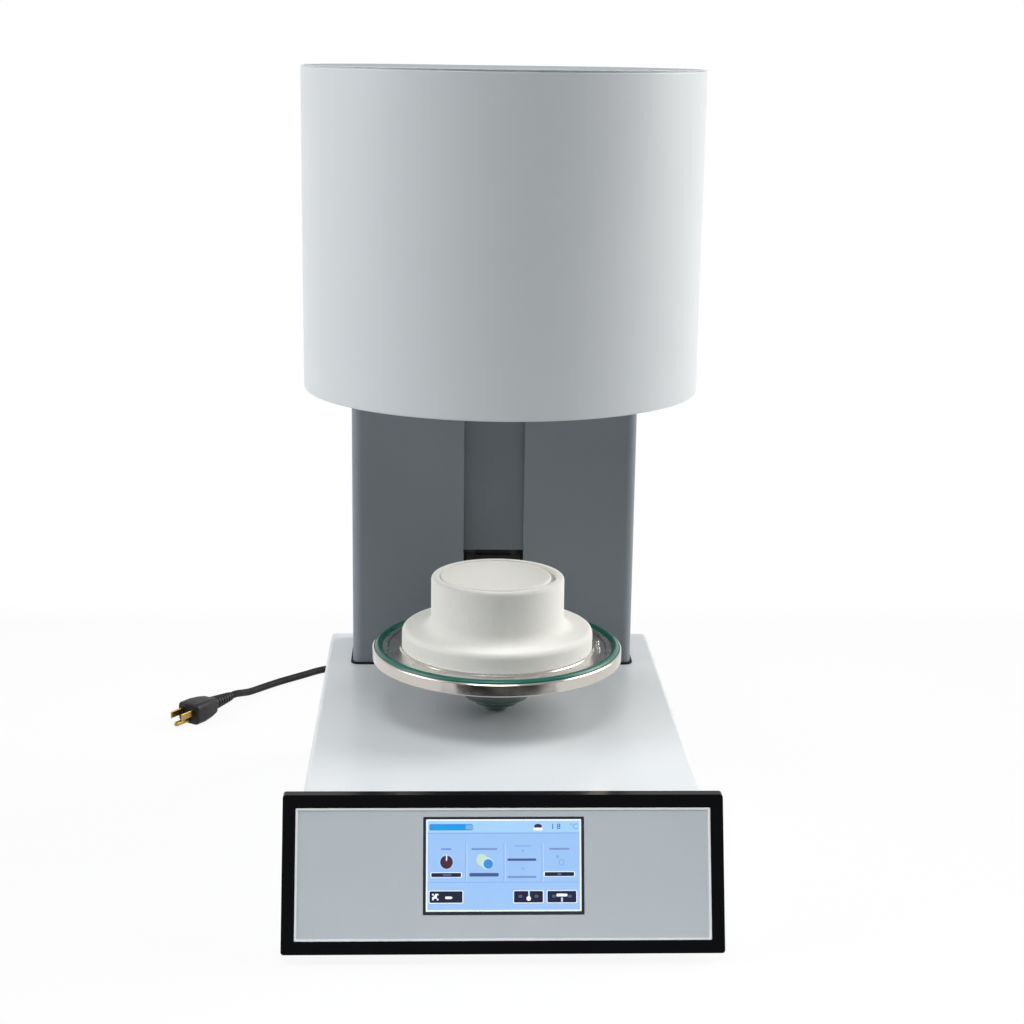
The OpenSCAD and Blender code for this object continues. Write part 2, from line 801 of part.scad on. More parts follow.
module cover_screws() {
    color("silver") from_axis() {
        foot_places() {
            translate([0, 0, -5.5]) cylinder(h = 2.5, r = 4);
            translate([0, 0, -3.1]) cylinder(h = sheet_t + 7, r = 2);
            translate([0, 0, sheet_t]) cylinder(h = 3, r = 4, $fn = 6);
        }
        for (s = [-1, 1], z = [-14, -base_h / 2, 10 - base_h])
            screw_at([s * (base_w / 2 - rear_lip + 3), axis_to_back, z], [-90, 0, 0]);
        for (s = [-1, 1], z = [20, column_h / 2, column_h - 20])
            screw_at([s * (column_w / 2 - sheet_t - column_return / 2), col_back, z], [-90, 0, 0]);
        for (s = [-1, 1], a = [18, 42], z = [flange_z + flange_t / 2, muffle_top - lid_rim / 2 - 1])
            rotate(s * a) screw_at([s * muffle_r, 0, z], [0, 90 * s, 0]);
    }
}

// A pan head screw: the head stands on a surface, the shank goes through it.
module screw_at(place, turn) {
    translate(place) rotate(turn) {
        difference() {
            cylinder(h = 1.8, r = 3);
            translate([0, 0, 0.8]) cylinder(h = 3, r = 1.3, $fn = 6);
        }
    }
}

// The column's plan: rounded in front, square behind.
module column_plan(i, back) {
    mirror([0, 1]) back_rounded(column_w - 2 * i, -back, -axis_to_column - i, column_r - i);
}

module column_shell() {
    inner_back = col_back - 2 * sheet_t;
    color([0.38, 0.41, 0.44]) from_axis() difference() {
        union() {
            difference() {
                linear_extrude(column_h) column_plan(0, col_back - sheet_t);
                translate([0, 0, -e]) linear_extrude(column_h + 2 * e)
                    column_plan(sheet_t, inner_back);
                translate([sheet_t + column_return - column_w / 2, inner_back - e, -e])
                    cube([column_w - 2 * (sheet_t + column_return), 3 * e + sheet_t,
                        column_h + 2 * e]);
            }
            for (s = [-1, 1])
                translate([s * (slot_w / 2 + sheet_t / 2) - sheet_t / 2, axis_to_column + 0.5, 0])
                    cube([sheet_t, slot_lip - 0.5, slot_top + 4]);
        }
        translate([-slot_w / 2, axis_to_column - e, 4])
            cube([slot_w, slot_lip + 2 * e, slot_top - 4]);
        for (s = [-1, 1])
            translate([s * post_x - ear_w / 2 - 1, axis_to_column - e, flange_z - 1])
                cube([ear_w + 2, sheet_t + 2 * e, flange_t + 2]);
        translate([hose_x, axis_to_column - e, hose_top]) rotate([-90, 0, 0])
            cylinder(h = sheet_t + 2 * e, r = hose_d / 2 + 1.5);
    }
}

module column_back() {
    color([0.38, 0.41, 0.44]) from_axis() difference() {
        translate([-column_w / 2, col_back - sheet_t, 0]) cube([column_w, sheet_t, column_h]);
        for (z = [60, 390], k = [0:5], s = [-1, 1])
            translate([s * 40, col_back + e, z + 9 * k]) rotate([90, 0, 0])
                linear_extrude(sheet_t + 2 * e) rounded_rect(60, 3.5, 1.7);
    }
}

module column_cap() {
    color([0.38, 0.41, 0.44]) from_axis() {
        translate([0, 0, column_h]) linear_extrude(sheet_t) column_plan(0, col_back);
        translate([0, 0, column_h - 8]) linear_extrude(8 + sheet_t / 2) difference() {
            column_plan(sheet_t + fit, col_back - 2 * sheet_t - fit);
            column_plan(sheet_t + fit + 1.5, col_back - 2 * sheet_t - fit - 1.5);
        }
    }
}

module strip_guides() {
    inner = slot_w / 2 + sheet_t;
    color([0.1, 0.1, 0.1]) from_axis() for (s = [-1, 1]) difference() {
        translate([s * (inner + 5) - 5, col_in, 2]) cube([10, strip_back + 2.5 - col_in, column_h - 14]);
        translate([s * strip_w / 4 - (strip_w / 4 + 0.3), strip_front - 0.3, -e])
            cube([strip_w / 2 + 0.6, strip_t + 0.6, column_h]);
    }
}

module column_frame() {
    color("gray") from_axis() {
        for (s = [-1, 1]) translate([s * post_x, spine_front - post_w / 2, 0]) difference() {
            box(post_w, post_w, post_h);
            translate([0, 0, -e]) box(post_w - 4, post_w - 4, post_h + 2 * e);
        }
        difference() {
            translate([0, spine_front + spine_t / 2, 0]) box(post_gap + post_w, spine_t, rod_top + 12);
            for (z = [90, 170, 250]) translate([0, spine_front - e, z]) rotate([-90, 0, 0])
                cylinder(h = spine_t + 2 * e, r = 24);
        }
    }
}

// Lower and upper blocks, which hold the rods and the screw's bearings.
module end_blocks() {
    block_w = post_gap - post_w - 8;
    color("silver") from_axis() for (z = [0, upper_block]) difference() {
        translate([-block_w / 2, block_front, z]) cube([block_w, spine_front - block_front, block_h]);
        for (s = [-1, 1]) translate([s * rod_x, screw_y, z - e])
            cylinder(h = block_h + 2 * e, r = rod_r + 0.02);
        translate([0, screw_y, z - e]) cylinder(h = block_h + 2 * e, r = screw_r + 2);
        translate([0, screw_y, z + 3]) cylinder(h = 8, r = screw_r + 7.02);
    }
}

module screw_bearings() {
    color("lightgray") from_axis() for (z = [0, upper_block])
        translate([0, screw_y, z + 3]) tube(screw_r + 7, screw_r + running, 8);
}

module guide_rods() {
    color("silver") from_axis() for (s = [-1, 1])
        translate([s * rod_x, screw_y, 0]) cylinder(h = rod_top, r = rod_r);
}

module lead_screw() {
    foot = 15 - motor_drop;
    color("darkgray") from_axis() translate([0, screw_y, 0]) {
        translate([0, 0, foot]) cylinder(h = rod_top - 2 - foot, r = screw_r);
        translate([0, 0, -motor_drop - 14]) cylinder(h = 14 + motor_drop + foot, r = shaft_r);
    }
}

module motor_coupling() {
    low = 4 - motor_drop;
    split = 15 - motor_drop;
    color("silver") from_axis() translate([0, screw_y, 0]) difference() {
        translate([0, 0, low]) cylinder(h = motor_drop - 9, r = screw_r + 5);
        translate([0, 0, low - e]) cylinder(h = split - low + e, r = shaft_r);
        translate([0, 0, split]) cylinder(h = motor_drop, r = screw_r);
    }
}

module lift_motor() {
    pitch = motor_w - 9.3;
    color([0.15, 0.15, 0.16]) from_axis() translate([0, screw_y, 0]) {
        difference() {
            union() {
                translate([0, 0, -motor_drop - motor_l]) linear_extrude(motor_l)
                    rounded_rect(motor_w, motor_w, 5);
                translate([0, 0, -motor_drop - e]) cylinder(h = 1.6 + e, r = motor_w / 3);
            }
            translate([0, 0, -motor_drop - 14.3]) cylinder(h = 20, r = shaft_r + running);
        }
        for (i = [-1, 1], j = [-1, 1]) translate([i * pitch / 2, j * pitch / 2, -motor_drop - e])
            cylinder(h = motor_drop - sheet_t + e, r = 4);
    }
}

module limit_switches() {
    side = carriage_w / 2;
    color([0.1, 0.1, 0.1]) from_axis() for (z = [20, upper_block - 30]) {
        translate([side + 7, spine_front - 8, z]) box(8, 16, 20);
        translate([side + 0.3, spine_front - 12, z + 8]) cube([4, 6, 5]);
    }
}

// The four screws that hold the arm's upright on the carriage, seen from the front.
module arm_screw_places() {
    for (s = [-1, 1], z = [plate_top - plate_t + 10, carriage_top - 10])
        translate([s * (arm_w / 2 - 7), arm_y, z]) rotate([-90, 0, 0]) children();
}

module carriage() {
    color([0.15, 0.15, 0.16]) from_axis() difference() {
        union() {
            translate([-carriage_w / 2, carriage_front, carriage_bottom])
                cube([carriage_w, carriage_back - carriage_front, carriage_h]);
            translate([-15, strip_back, carriage_top]) cube([30, block_front - 1 - strip_back, 10]);
            translate([-15, strip_back, carriage_top]) cube([30, 4, strip_bottom + 30 - carriage_top]);
            arm_screw_places() {
                translate([0, 0, 0.6]) cylinder(h = 3.4, r = 4.2);
                cylinder(h = upright_t + e, r = 2.5);
            }
        }
        for (s = [-1, 1]) translate([s * rod_x, screw_y, carriage_bottom - e])
            cylinder(h = carriage_h + 2 * e, r = rod_r + bush_t);
        translate([0, screw_y, carriage_bottom - e]) cylinder(h = carriage_h + 2 * e, r = screw_r + 5);
        arm_screw_places() translate([0, 0, -e]) cylinder(h = 3, r = 2.2, $fn = 6);
    }
}

module slide_bushes() {
    color("goldenrod") from_axis()
        for (s = [-1, 1], z = [carriage_bottom + 1, carriage_top - bush_l - 1])
            translate([s * rod_x, screw_y, z]) tube(rod_r + bush_t, rod_r + running, bush_l);
}

module screw_nut() {
    color("goldenrod") from_axis() translate([0, screw_y, carriage_top - 30]) difference() {
        union() {
            cylinder(h = 30 + nut_flange_t, r = screw_r + 5);
            translate([0, 0, 30]) cylinder(h = nut_flange_t, r = screw_r + 8);
        }
        translate([0, 0, -e]) cylinder(h = 60, r = screw_r + running);
    }
}

module lift_arm() {
    arm_top = plate_top - plate_t;
    color([0.38, 0.41, 0.44]) from_axis() difference() {
        union() {
            translate([-arm_w / 2, arm_y, arm_bottom]) cube([arm_w, upright_t, carriage_top - arm_bottom]);
            translate([-arm_w / 2, 0, arm_bottom]) cube([arm_w, arm_y + e, arm_top - arm_bottom]);
            translate([0, 0, arm_bottom]) cylinder(h = arm_top - arm_bottom, r = 40);
        }
        translate([0, 0, arm_bottom - e]) cylinder(h = 40, r = stud_r + 0.1);
        arm_screw_places() translate([0, 0, -e]) {
            cylinder(h = upright_t + 2 * e, r = 2.6);
            cylinder(h = 4 + e, r = 4.6);
        }
    }
}

module slot_cover() {
    color([0.3, 0.33, 0.36]) from_axis()
        translate([-strip_w / 2, strip_front, strip_bottom])
            cube([strip_w, strip_t, strip_top - strip_bottom]);
}

module platform_plate() {
    color("silver") from_axis() translate([0, 0, plate_top]) {
        difference() {
            translate([0, 0, -plate_t]) cylinder(h = plate_t, r = plate_r);
            translate([0, 0, seal_proud - seal_d / 2]) rotate_extrude()
                translate([seal_r, 0]) circle(seal_d / 2);
            translate([0, 0, -pocket_depth]) tube(pocket_r, tier_low_r + 0.5, 1.9);
            translate([0, 0, -plate_t - e]) cylinder(h = plate_t / 2 + e, r = stud_r);
        }
        for (a = [-8, 4]) rotate(a) translate([tier_low_r + 5, 0, -2]) cylinder(h = 3.5, r = 1.5);
    }
}

module seal_ring() {
    color([0.05, 0.5, 0.38]) from_axis() translate([0, 0, plate_top + seal_proud - seal_d / 2])
        rotate_extrude() translate([seal_r, 0]) circle(seal_d / 2);
}

module firing_plinth() {
    color([0.95, 0.95, 0.92]) from_axis() translate([0, 0, plate_top]) rotate_extrude() {
        difference() {
            union() {
                square([tier_low_r, tier_low_h - tier_edge]);
                square([tier_low_r - tier_edge, tier_low_h]);
                translate([tier_low_r - tier_edge, tier_low_h - tier_edge]) circle(tier_edge);
                square([tier_up_r + tier_fillet, tier_low_h + tier_fillet]);
                square([tier_up_r, plinth_h - tier_edge]);
                square([tier_up_r - tier_edge, plinth_h]);
                translate([tier_up_r - tier_edge, plinth_h - tier_edge]) circle(tier_edge);
            }
            translate([tier_up_r + tier_fillet, tier_low_h + tier_fillet]) circle(tier_fillet);
            translate([0, plinth_h - recess_depth]) square([recess_r, plinth_h]);
            translate([-plinth_h, 0]) square([plinth_h, 2 * plinth_h]);
        }
    }
}

module firing_tray() {
    color([0.93, 0.93, 0.9]) from_axis()
        translate([-(recess_r - tray_r) * 0.6, 0, plate_top + plinth_h - recess_depth])
            cylinder(h = tray_t, r = tray_r);
}

module cone_nut() {
    color([0.24, 0.29, 0.29]) from_axis() {
        for (k = [0:2])
            translate([0, 0, arm_bottom - cone_collar - cone_step * k])
                cylinder(h = k > 0 ? cone_step + e : cone_collar, r = cone_radii[k]);
        translate([0, 0, arm_bottom - e]) cylinder(h = plate_top - plate_t / 2 - arm_bottom + e, r = stud_r);
    }
}

// Everything of the muffle stops in front of the column.
module before_column() {
    difference() {
        children();
        translate([-2 * muffle_r, axis_to_column, 0]) cube([4 * muffle_r, muffle_r, 2 * muffle_top]);
    }
}

module muffle_shell() {
    color([0.93, 0.94, 0.95]) from_axis() before_column()
        translate([0, 0, muffle_bottom]) tube(muffle_r, shell_in, muffle_h);
}

module muffle_lid() {
    color([0.9, 0.92, 0.93]) from_axis() before_column() {
        translate([0, 0, muffle_top - sheet_t]) cylinder(h = sheet_t, r = shell_in - fit);
        translate([0, 0, muffle_top - sheet_t - lid_rim]) tube(shell_in, shell_in - 1.5, lid_rim);
    }
}

module seal_flange() {
    color("silver") from_axis() difference() {
        union() {
            before_column() translate([0, 0, flange_z]) cylinder(h = flange_t, r = shell_in);
            for (s = [-1, 1]) {
                translate([s * post_x - ear_w / 2, 60, flange_z]) cube([ear_w, post_front - 60, flange_t]);
                translate([s * post_x - ear_w / 2, post_front - 6, flange_z - 36])
                    cube([ear_w, 6, 37]);
                translate([s * post_x - 3, post_front - 18, flange_z - 20]) cube([6, 15, 21]);
            }
        }
        translate([0, 0, flange_z - e]) cylinder(h = flange_t + 2 * e, r = throat_r);
    }
}

module vacuum_vessel() {
    color("lightgray") from_axis() difference() {
        union() {
            translate([0, 0, flange_top]) tube(vessel_r + vessel_flange_w, vessel_r - 1, vessel_flange_t);
            translate([0, 0, flange_top]) cylinder(h = vessel_h, r = vessel_r);
            for (k = [0:5]) rotate(60 * k) translate([vessel_r + vessel_flange_w / 2, 0, flange_top])
                cylinder(h = vessel_flange_t + 4, r = 4, $fn = 6);
            translate([hose_x, port_y, vessel_top - e]) cylinder(h = port_top - vessel_top + e, r = hose_d / 2);
            translate([hose_x, port_y, vessel_top]) cylinder(h = port_top - vessel_top + 8, r = hose_bore / 2 - 0.02);
        }
        translate([0, 0, flange_top - e]) cylinder(h = vessel_h - vessel_top_t + e, r = vessel_r - vessel_t);
        translate([0, 0, vessel_top - 2 * vessel_top_t])
            cylinder(h = 4 * vessel_top_t, r = probe_d / 2 + 0.3);
        lead_places() translate([0, 0, vessel_top - 2 * vessel_top_t])
            cylinder(h = 4 * vessel_top_t, r = 4.05);
        translate([hose_x, port_y, vessel_top - 2 * vessel_top_t])
            cylinder(h = 40, r = hose_bore / 2 - 1);
    }
}

// The two heater leads: one stands over the coil's last turn, the other just outside the coil.
module lead_places() {
    translate([heater_r, 0, 0]) children();
    translate([-heater_r - wire_d - 0.3, 0, 0]) children();
}

module insulation_base() {
    color("white") from_axis() difference() {
        translate([0, 0, flange_top]) cylinder(h = lower_ring_h, r = fibre_r);
        translate([0, 0, flange_top - e]) cylinder(h = throat_h + e, r = throat_r);
        translate([0, 0, flange_top]) cylinder(h = lower_ring_h - sill_t, r = tier_up_r + chamber_gap);
        translate([0, 0, flange_top]) cylinder(h = lower_ring_h + e, r = liner_r);
    }
}

module insulation_ring() {
    color("white") from_axis() translate([0, 0, chamber_foot]) difference() {
        cylinder(h = chamber_h, r = fibre_r);
        translate([0, 0, -e]) cylinder(h = chamber_h + 2 * e, r = heater_space);
        lead_places() translate([0, 0, -e]) cylinder(h = chamber_h + 2 * e, r = wire_d / 2 + 0.7);
    }
}

module insulation_cap() {
    height = vessel_top - vessel_top_t - chamber_top;
    color("white") from_axis() translate([0, 0, chamber_top]) difference() {
        cylinder(h = height, r = fibre_r);
        translate([0, 0, -e]) cylinder(h = height + 2 * e, r = probe_d / 2 + 0.3);
        lead_places() translate([0, 0, -e]) cylinder(h = height + 2 * e, r = wire_d / 2 + 0.3);
    }
}

module quartz_liner() {
    color([0.85, 0.88, 0.9, 0.6]) from_axis() translate([0, 0, chamber_foot])
        tube(liner_r + liner_t, liner_r, chamber_h - fit);
}

module thermocouple() {
    color("whitesmoke") from_axis() {
        translate([0, 0, chamber_top - probe_reach])
            cylinder(h = probe_top - chamber_top + probe_reach, r = probe_d / 2);
        translate([0, 0, vessel_top]) cylinder(h = 10, r = probe_d / 2 + 5);
    }
}

// Joins rings of points into one closed tube. Each ring has the same number of points.
module tube_through(rings) {
    n = len(rings[0]);
    m = len(rings);
    sides = [
        for (i = [0:m - 2], j = [0:n - 1])
            let (a = i * n + j, b = i * n + (j + 1) % n)
                each [[a, b, b + n], [a, b + n, a + n]]
    ];
    caps = [
        [for (j = [0:n - 1]) n - 1 - j],
        [for (j = [0:n - 1]) (m - 1) * n + j]
    ];
    polyhedron(points = [for (r = rings) each r], faces = concat(sides, caps), convexity = 8);
}

function unit(v) = v / norm(v);

// A ring of n points round p, square to the direction d. Its flat sides face up and down.
function ring_at(p, d, r, n) =
    let (t = unit(d), side = unit(cross(t, [0, 0, 1])), up = cross(side, t))
        [for (j = [0:n - 1]) let (a = 360 * (j + 0.5) / n) p + r * (cos(a) * side + sin(a) * up)];

function direction(path, i) =
    let (m = len(path) - 1)
        i == 0 ? path[1] - path[0] : i == m ? path[m] - path[m - 1] : path[i + 1] - path[i - 1];

function rings_along(path, r, n) =
    [for (i = [0:len(path) - 1]) ring_at(path[i], direction(path, i), r, n)];

function path_length(path, i = 0) =
    i >= len(path) - 1 ? 0 : norm(path[i + 1] - path[i]) + path_length(path, i + 1);

// Smallest distance between points of a path that lie at least skip steps apart.
function least_gap(path, skip) =
    min([for (i = [0:len(path) - 1 - skip], j = [i + skip:len(path) - 1]) norm(path[i] - path[j])]);

// Heater: a helix round the liner, 24 rings of 6 sides a turn. It starts opposite to its end.
heater_foot = chamber_foot + wire_d / 2;
heater_rise = heater_pitch * (heater_turns - 0.5);
heater_path = [
    for (k = [0:24 * heater_turns - 12])
        let (a = 180 + 360 * k / 24)
            [heater_r * cos(a), heater_r * sin(a), heater_foot + heater_pitch * k / 24]
];
echo(heater_least_gap = least_gap(heater_path, 12) - wire_d);

module heating_coil() {
    last = heater_foot + heater_rise;
    far = heater_r + wire_d + 0.3;
    color("darkorange") from_axis() {
        tube_through(rings_along(heater_path, wire_d / 2, 6));
        translate([heater_r, 0, last - 0.3]) cylinder(h = probe_top - last, r = wire_d / 2, $fn = 24);
        translate([-far, 0, heater_foot]) cylinder(h = probe_top - heater_foot, r = wire_d / 2, $fn = 24);
        translate([-far, 0, heater_foot]) rotate([0, 90, 0])
            cylinder(h = wire_d + 0.3, r = wire_d / 2 - 0.05, $fn = 24);
        lead_places() translate([0, 0, vessel_top - vessel_top_t])
            cylinder(h = 8, r = 4, $fn = 24);
    }
}

// Mains lead. It lies on the surface that the furnace stands on.
lie = cord_d / 2 + 0.1;
coil_layer = cord_d + turn_gap - 0.1;
coil_pitch = cord_d + turn_gap;
coil_lift = 1.1;
coil_x = inlet_x - coil_r;
coil_y = 372;
reverse_at = 2.75;
coil_turns = 5.25;

// Radius and height of the coil after t turns: in on the lower layer, out on the upper one,
// with the climb in the half turn where the spiral reverses.
function coil_radius(t) = coil_r - coil_pitch * reverse_at + coil_pitch * abs(t - reverse_at);
function climb(t) = let (c = min(1, max(0, 2 * (t - reverse_at) + 0.5))) c * c * (3 - 2 * c);
function coil_point(t) = [
    coil_x + coil_radius(t) * cos(360 * t), coil_y + coil_radius(t) * sin(360 * t),
    lie + coil_lift + coil_layer * climb(t)
];
coil_path = concat(
    [coil_point(0) - [0, cord_d, 0]],
    [for (k = [0:24 * coil_turns]) coil_point(k / 24)],
    [coil_point(coil_turns) - [cord_d, 0, 0]]
);
echo(coil_least_gap = least_gap(coil_path, 12) - cord_d);

// Hand-chosen points of the two free stretches, measured from the muffle's axis and the table.
cord_start = rear_out + 2.5 + connector_l + relief_l;
lead_path = [
    [inlet_x, cord_start, 58], [inlet_x, cord_start + 8, 58], [90, 264, 56.5], [90, 276, 52],
    [90, 287, 45], [90, 297, 37], [90, 307, 28], [90, 318, 19], [90, 330, 11.5], [90, 343, 7],
    [90, 356, 5], coil_point(0) - [0, cord_d, 0]
];
tail_path = [
    coil_point(coil_turns) - [cord_d, 0, 0], [22, 420, 10], [10, 422, 7.5], [-4, 425, 5],
    [-20, 428, 3.8], [-38, 431, 3.5], [-58, 434, 3.5], [-80, 436, 3.5], [-102, 436.5, 3.5],
    [-122, 435, 3.5], [-138, 431.5, 3.5], [-152, 425.5, 3.5], [-166.2, 416.2, 3.5],
    [-178, 404.8, 3.5], [-190, 393.5, 3.5], [-202, 382, 3.5], [-213, 369.2, 3.7],
    [-223.5, 354.7, 4.4], [-229.5, 344, 5.8], [-235, 334, 8.2], [-240, 325.5, 10.2],
    [-244.5, 319, 10.2]
];
echo(lead_length = path_length(lead_path) + path_length(coil_path) + path_length(tail_path));

module from_table() {
    translate([0, axis_y, 0]) children();
}

module mains_lead() {
    color([0.06, 0.06, 0.06]) from_table() {
        tube_through(rings_along(lead_path, cord_d / 2, 8));
        tube_through(rings_along(tail_path, cord_d / 2, 8));
    }
}

module lead_coil() {
    color([0.06, 0.06, 0.06]) from_table() tube_through(rings_along(coil_path, cord_d / 2, 6));
}

// The tie round the stored coil: a flat band that leaves the coil free by a hair.
tie_angle = 150;
tie_w = 12;
tie_t = 0.8;

module lead_tie() {
    inner = coil_r - coil_pitch * reverse_at - cord_d / 2 - 2;
    outer = coil_r + cord_d / 2 - 2.8;
    top = lie + coil_lift + coil_layer + cord_d / 2 + 0.3;
    color([0.1, 0.1, 0.1]) from_table() translate([coil_x, coil_y, 0]) rotate(tie_angle)
        difference() {
            translate([inner - tie_t, -tie_w / 2, 0.2])
                cube([outer - inner + 2 * tie_t, tie_w, top + tie_t - 0.2]);
            translate([inner, -tie_w / 2 - e, 0.2 + tie_t])
                cube([outer - inner, tie_w + 2 * e, top - 0.2 - tie_t]);
        }
}

module mains_connector() {
    color([0.06, 0.06, 0.06]) on_rear(inlet_x, row_z) difference() {
        union() {
            translate([0, 0, -11.5]) linear_extrude(20) rounded_rect(24, 16, 1.5);
            translate([0, 0, 2.5]) linear_extrude(connector_l) rounded_rect(27, 20, 3);
            translate([0, 0, 2.5 + connector_l]) cylinder(h = relief_l, r1 = 7, r2 = cord_d / 2 + 1);
        }
        for (p = [[-7, 2], [0, -2], [7, 2]]) translate([p[0], p[1], -13]) box(2.6, 4.8, 11);
    }
}

module mains_plug() {
    last = len(tail_path) - 1;
    step = tail_path[last] - tail_path[last - 1];
    color([0.06, 0.06, 0.06]) from_table() translate(tail_path[last])
        rotate([0, 0, atan2(step[1], step[0])]) rotate([0, 90, 0]) {
            cylinder(h = relief_l, r1 = cord_d / 2 + 1, r2 = 7);
            translate([0, 0, relief_l - e]) linear_extrude(plug_l + e) rounded_rect(20, 25, 5);
            for (s = [-1, 1]) translate([-2, 6.35 * s, relief_l + plug_l - e]) box(6.3, 1.5, 17);
            translate([5.5, 0, relief_l + plug_l - e]) cylinder(h = 19, r = 2.4);
        }
}

base_cover();
bottom_tray();
rear_panel();
front_frame();
front_panel();
display_glass();
display_module();
controller_board();
power_supply();
relay();
heat_sink();
rubber_feet();
mains_inlet();
pump_outlet();
switch_housing();
switch_rocker();
fan_frame();
fan_rotor();
fan_guard();
vacuum_nipple();
vacuum_valve();
vacuum_hose();
cover_screws();
column_shell();
column_back();
column_cap();
column_frame();
strip_guides();
end_blocks();
guide_rods();
screw_bearings();
lead_screw();
motor_coupling();
lift_motor();
limit_switches();
carriage();
slide_bushes();
screw_nut();
lift_arm();
slot_cover();
platform_plate();
seal_ring();
firing_plinth();
firing_tray();
cone_nut();
muffle_shell();
muffle_lid();
seal_flange();
vacuum_vessel();
insulation_base();
insulation_ring();
insulation_cap();
heating_coil();
quartz_liner();
thermocouple();
mains_connector();
mains_lead();
lead_coil();
lead_tie();
mains_plug();
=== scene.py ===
import json
import math

import bpy
from mathutils import Matrix, Vector


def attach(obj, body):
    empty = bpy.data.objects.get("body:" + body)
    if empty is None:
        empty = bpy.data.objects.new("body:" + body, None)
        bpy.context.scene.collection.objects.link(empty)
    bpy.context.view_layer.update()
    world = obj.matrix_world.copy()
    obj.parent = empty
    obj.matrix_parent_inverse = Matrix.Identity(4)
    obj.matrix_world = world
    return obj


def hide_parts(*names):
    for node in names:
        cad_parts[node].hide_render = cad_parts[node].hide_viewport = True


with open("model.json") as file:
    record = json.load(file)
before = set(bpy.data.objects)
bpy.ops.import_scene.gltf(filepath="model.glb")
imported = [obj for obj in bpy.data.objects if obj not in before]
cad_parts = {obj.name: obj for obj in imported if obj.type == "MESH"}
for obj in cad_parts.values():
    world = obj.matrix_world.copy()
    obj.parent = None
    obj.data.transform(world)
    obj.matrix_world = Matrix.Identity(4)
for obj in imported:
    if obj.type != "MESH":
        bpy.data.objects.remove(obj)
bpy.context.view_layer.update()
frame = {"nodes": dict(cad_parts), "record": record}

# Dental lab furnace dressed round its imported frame. Sizes are in millimetres, measured from
# the muffle's axis and the top of the base; at() turns them into the frame's metres.
mm = 0.001
axisY = -0.003116  # the muffle's axis in the frame, in metres
baseTop = 0.110  # the top of the base above the table, in metres
nodeBody = {n: b for b, names in frame["record"]["behaviour"]["bodies"].items() for n in names}


def at(x, y, z):
    return Vector((x * mm, y * mm + axisY, z * mm + baseTop))


def onTable(x, y, z):  # the same, but with the height measured from the table
    return Vector((x * mm, y * mm + axisY, z * mm))


def shift(x, y, z):  # a move in millimetres
    return Matrix.Translation((x * mm, y * mm, z * mm))


def roll(degrees, axis):
    return Matrix.Rotation(math.radians(degrees), 4, axis)


onAxis = Matrix.Translation(at(0, 0, 0))


def fromHex(colour):  # an sRGB hex colour as Blender's linear one
    parts = [int(colour[i:i + 2], 16) / 255 for i in (0, 2, 4)]
    return tuple(p / 12.92 if p <= 0.04045 else ((p + 0.055) / 1.055) ** 2.4 for p in parts) + (1,)


# Camera: a short tele from the front, a little left of the middle and above the plinth
cameraLook = {"place": (-49.31, -1428.09, 509.97), "turn": -2.39, "tilt": 13.71, "roll": 0.81,
              "lens": 67.06}
bpy.ops.object.camera_add(location=at(*cameraLook["place"]))
camera = bpy.context.object
camera.name = "productCamera"
camera.rotation_euler = (roll(cameraLook["turn"], "Z") @ roll(90 - cameraLook["tilt"], "X")
                         @ roll(cameraLook["roll"], "Z")).to_euler()
camera.data.lens = cameraLook["lens"]
camera.data.sensor_width = 36
bpy.context.scene.camera = camera
print("camera placed")


# Finishes

def addNode(tree, kind, settings=None, links=None):
    node = tree.nodes.new("ShaderNode" + kind)
    for key, value in (settings or {}).items():
        if isinstance(key, str) and hasattr(node, key):
            setattr(node, key, value)
        else:
            node.inputs[key].default_value = value
    for key, source in (links or {}).items():  # from an output, or from a node's first one
        output = source.outputs[0] if hasattr(source, "outputs") else source
        tree.links.new(output, node.inputs[key])
    return node


reliefs = {  # kind of grain: its node, what is set on it, its pitch at 1 mm and its result
    "rings": ("TexWave", {"wave_type": "RINGS", "rings_direction": "Z", "Distortion": 0.6,
                          "Detail": 1.0, "Detail Scale": 0.4}, 0.314, "Fac"),
    "bands": ("TexWave", {"bands_direction": "DIAGONAL"}, 0.314, "Fac"),
    "cells": ("TexVoronoi", {}, 1, "Distance"),
    "noise": ("TexNoise", {"Detail": 3.0}, 1, "Fac"),
}


def emptyTree(block):  # the cleared nodes of a material or a world
    block.use_nodes = True
    block.node_tree.nodes.clear()
    return block.node_tree


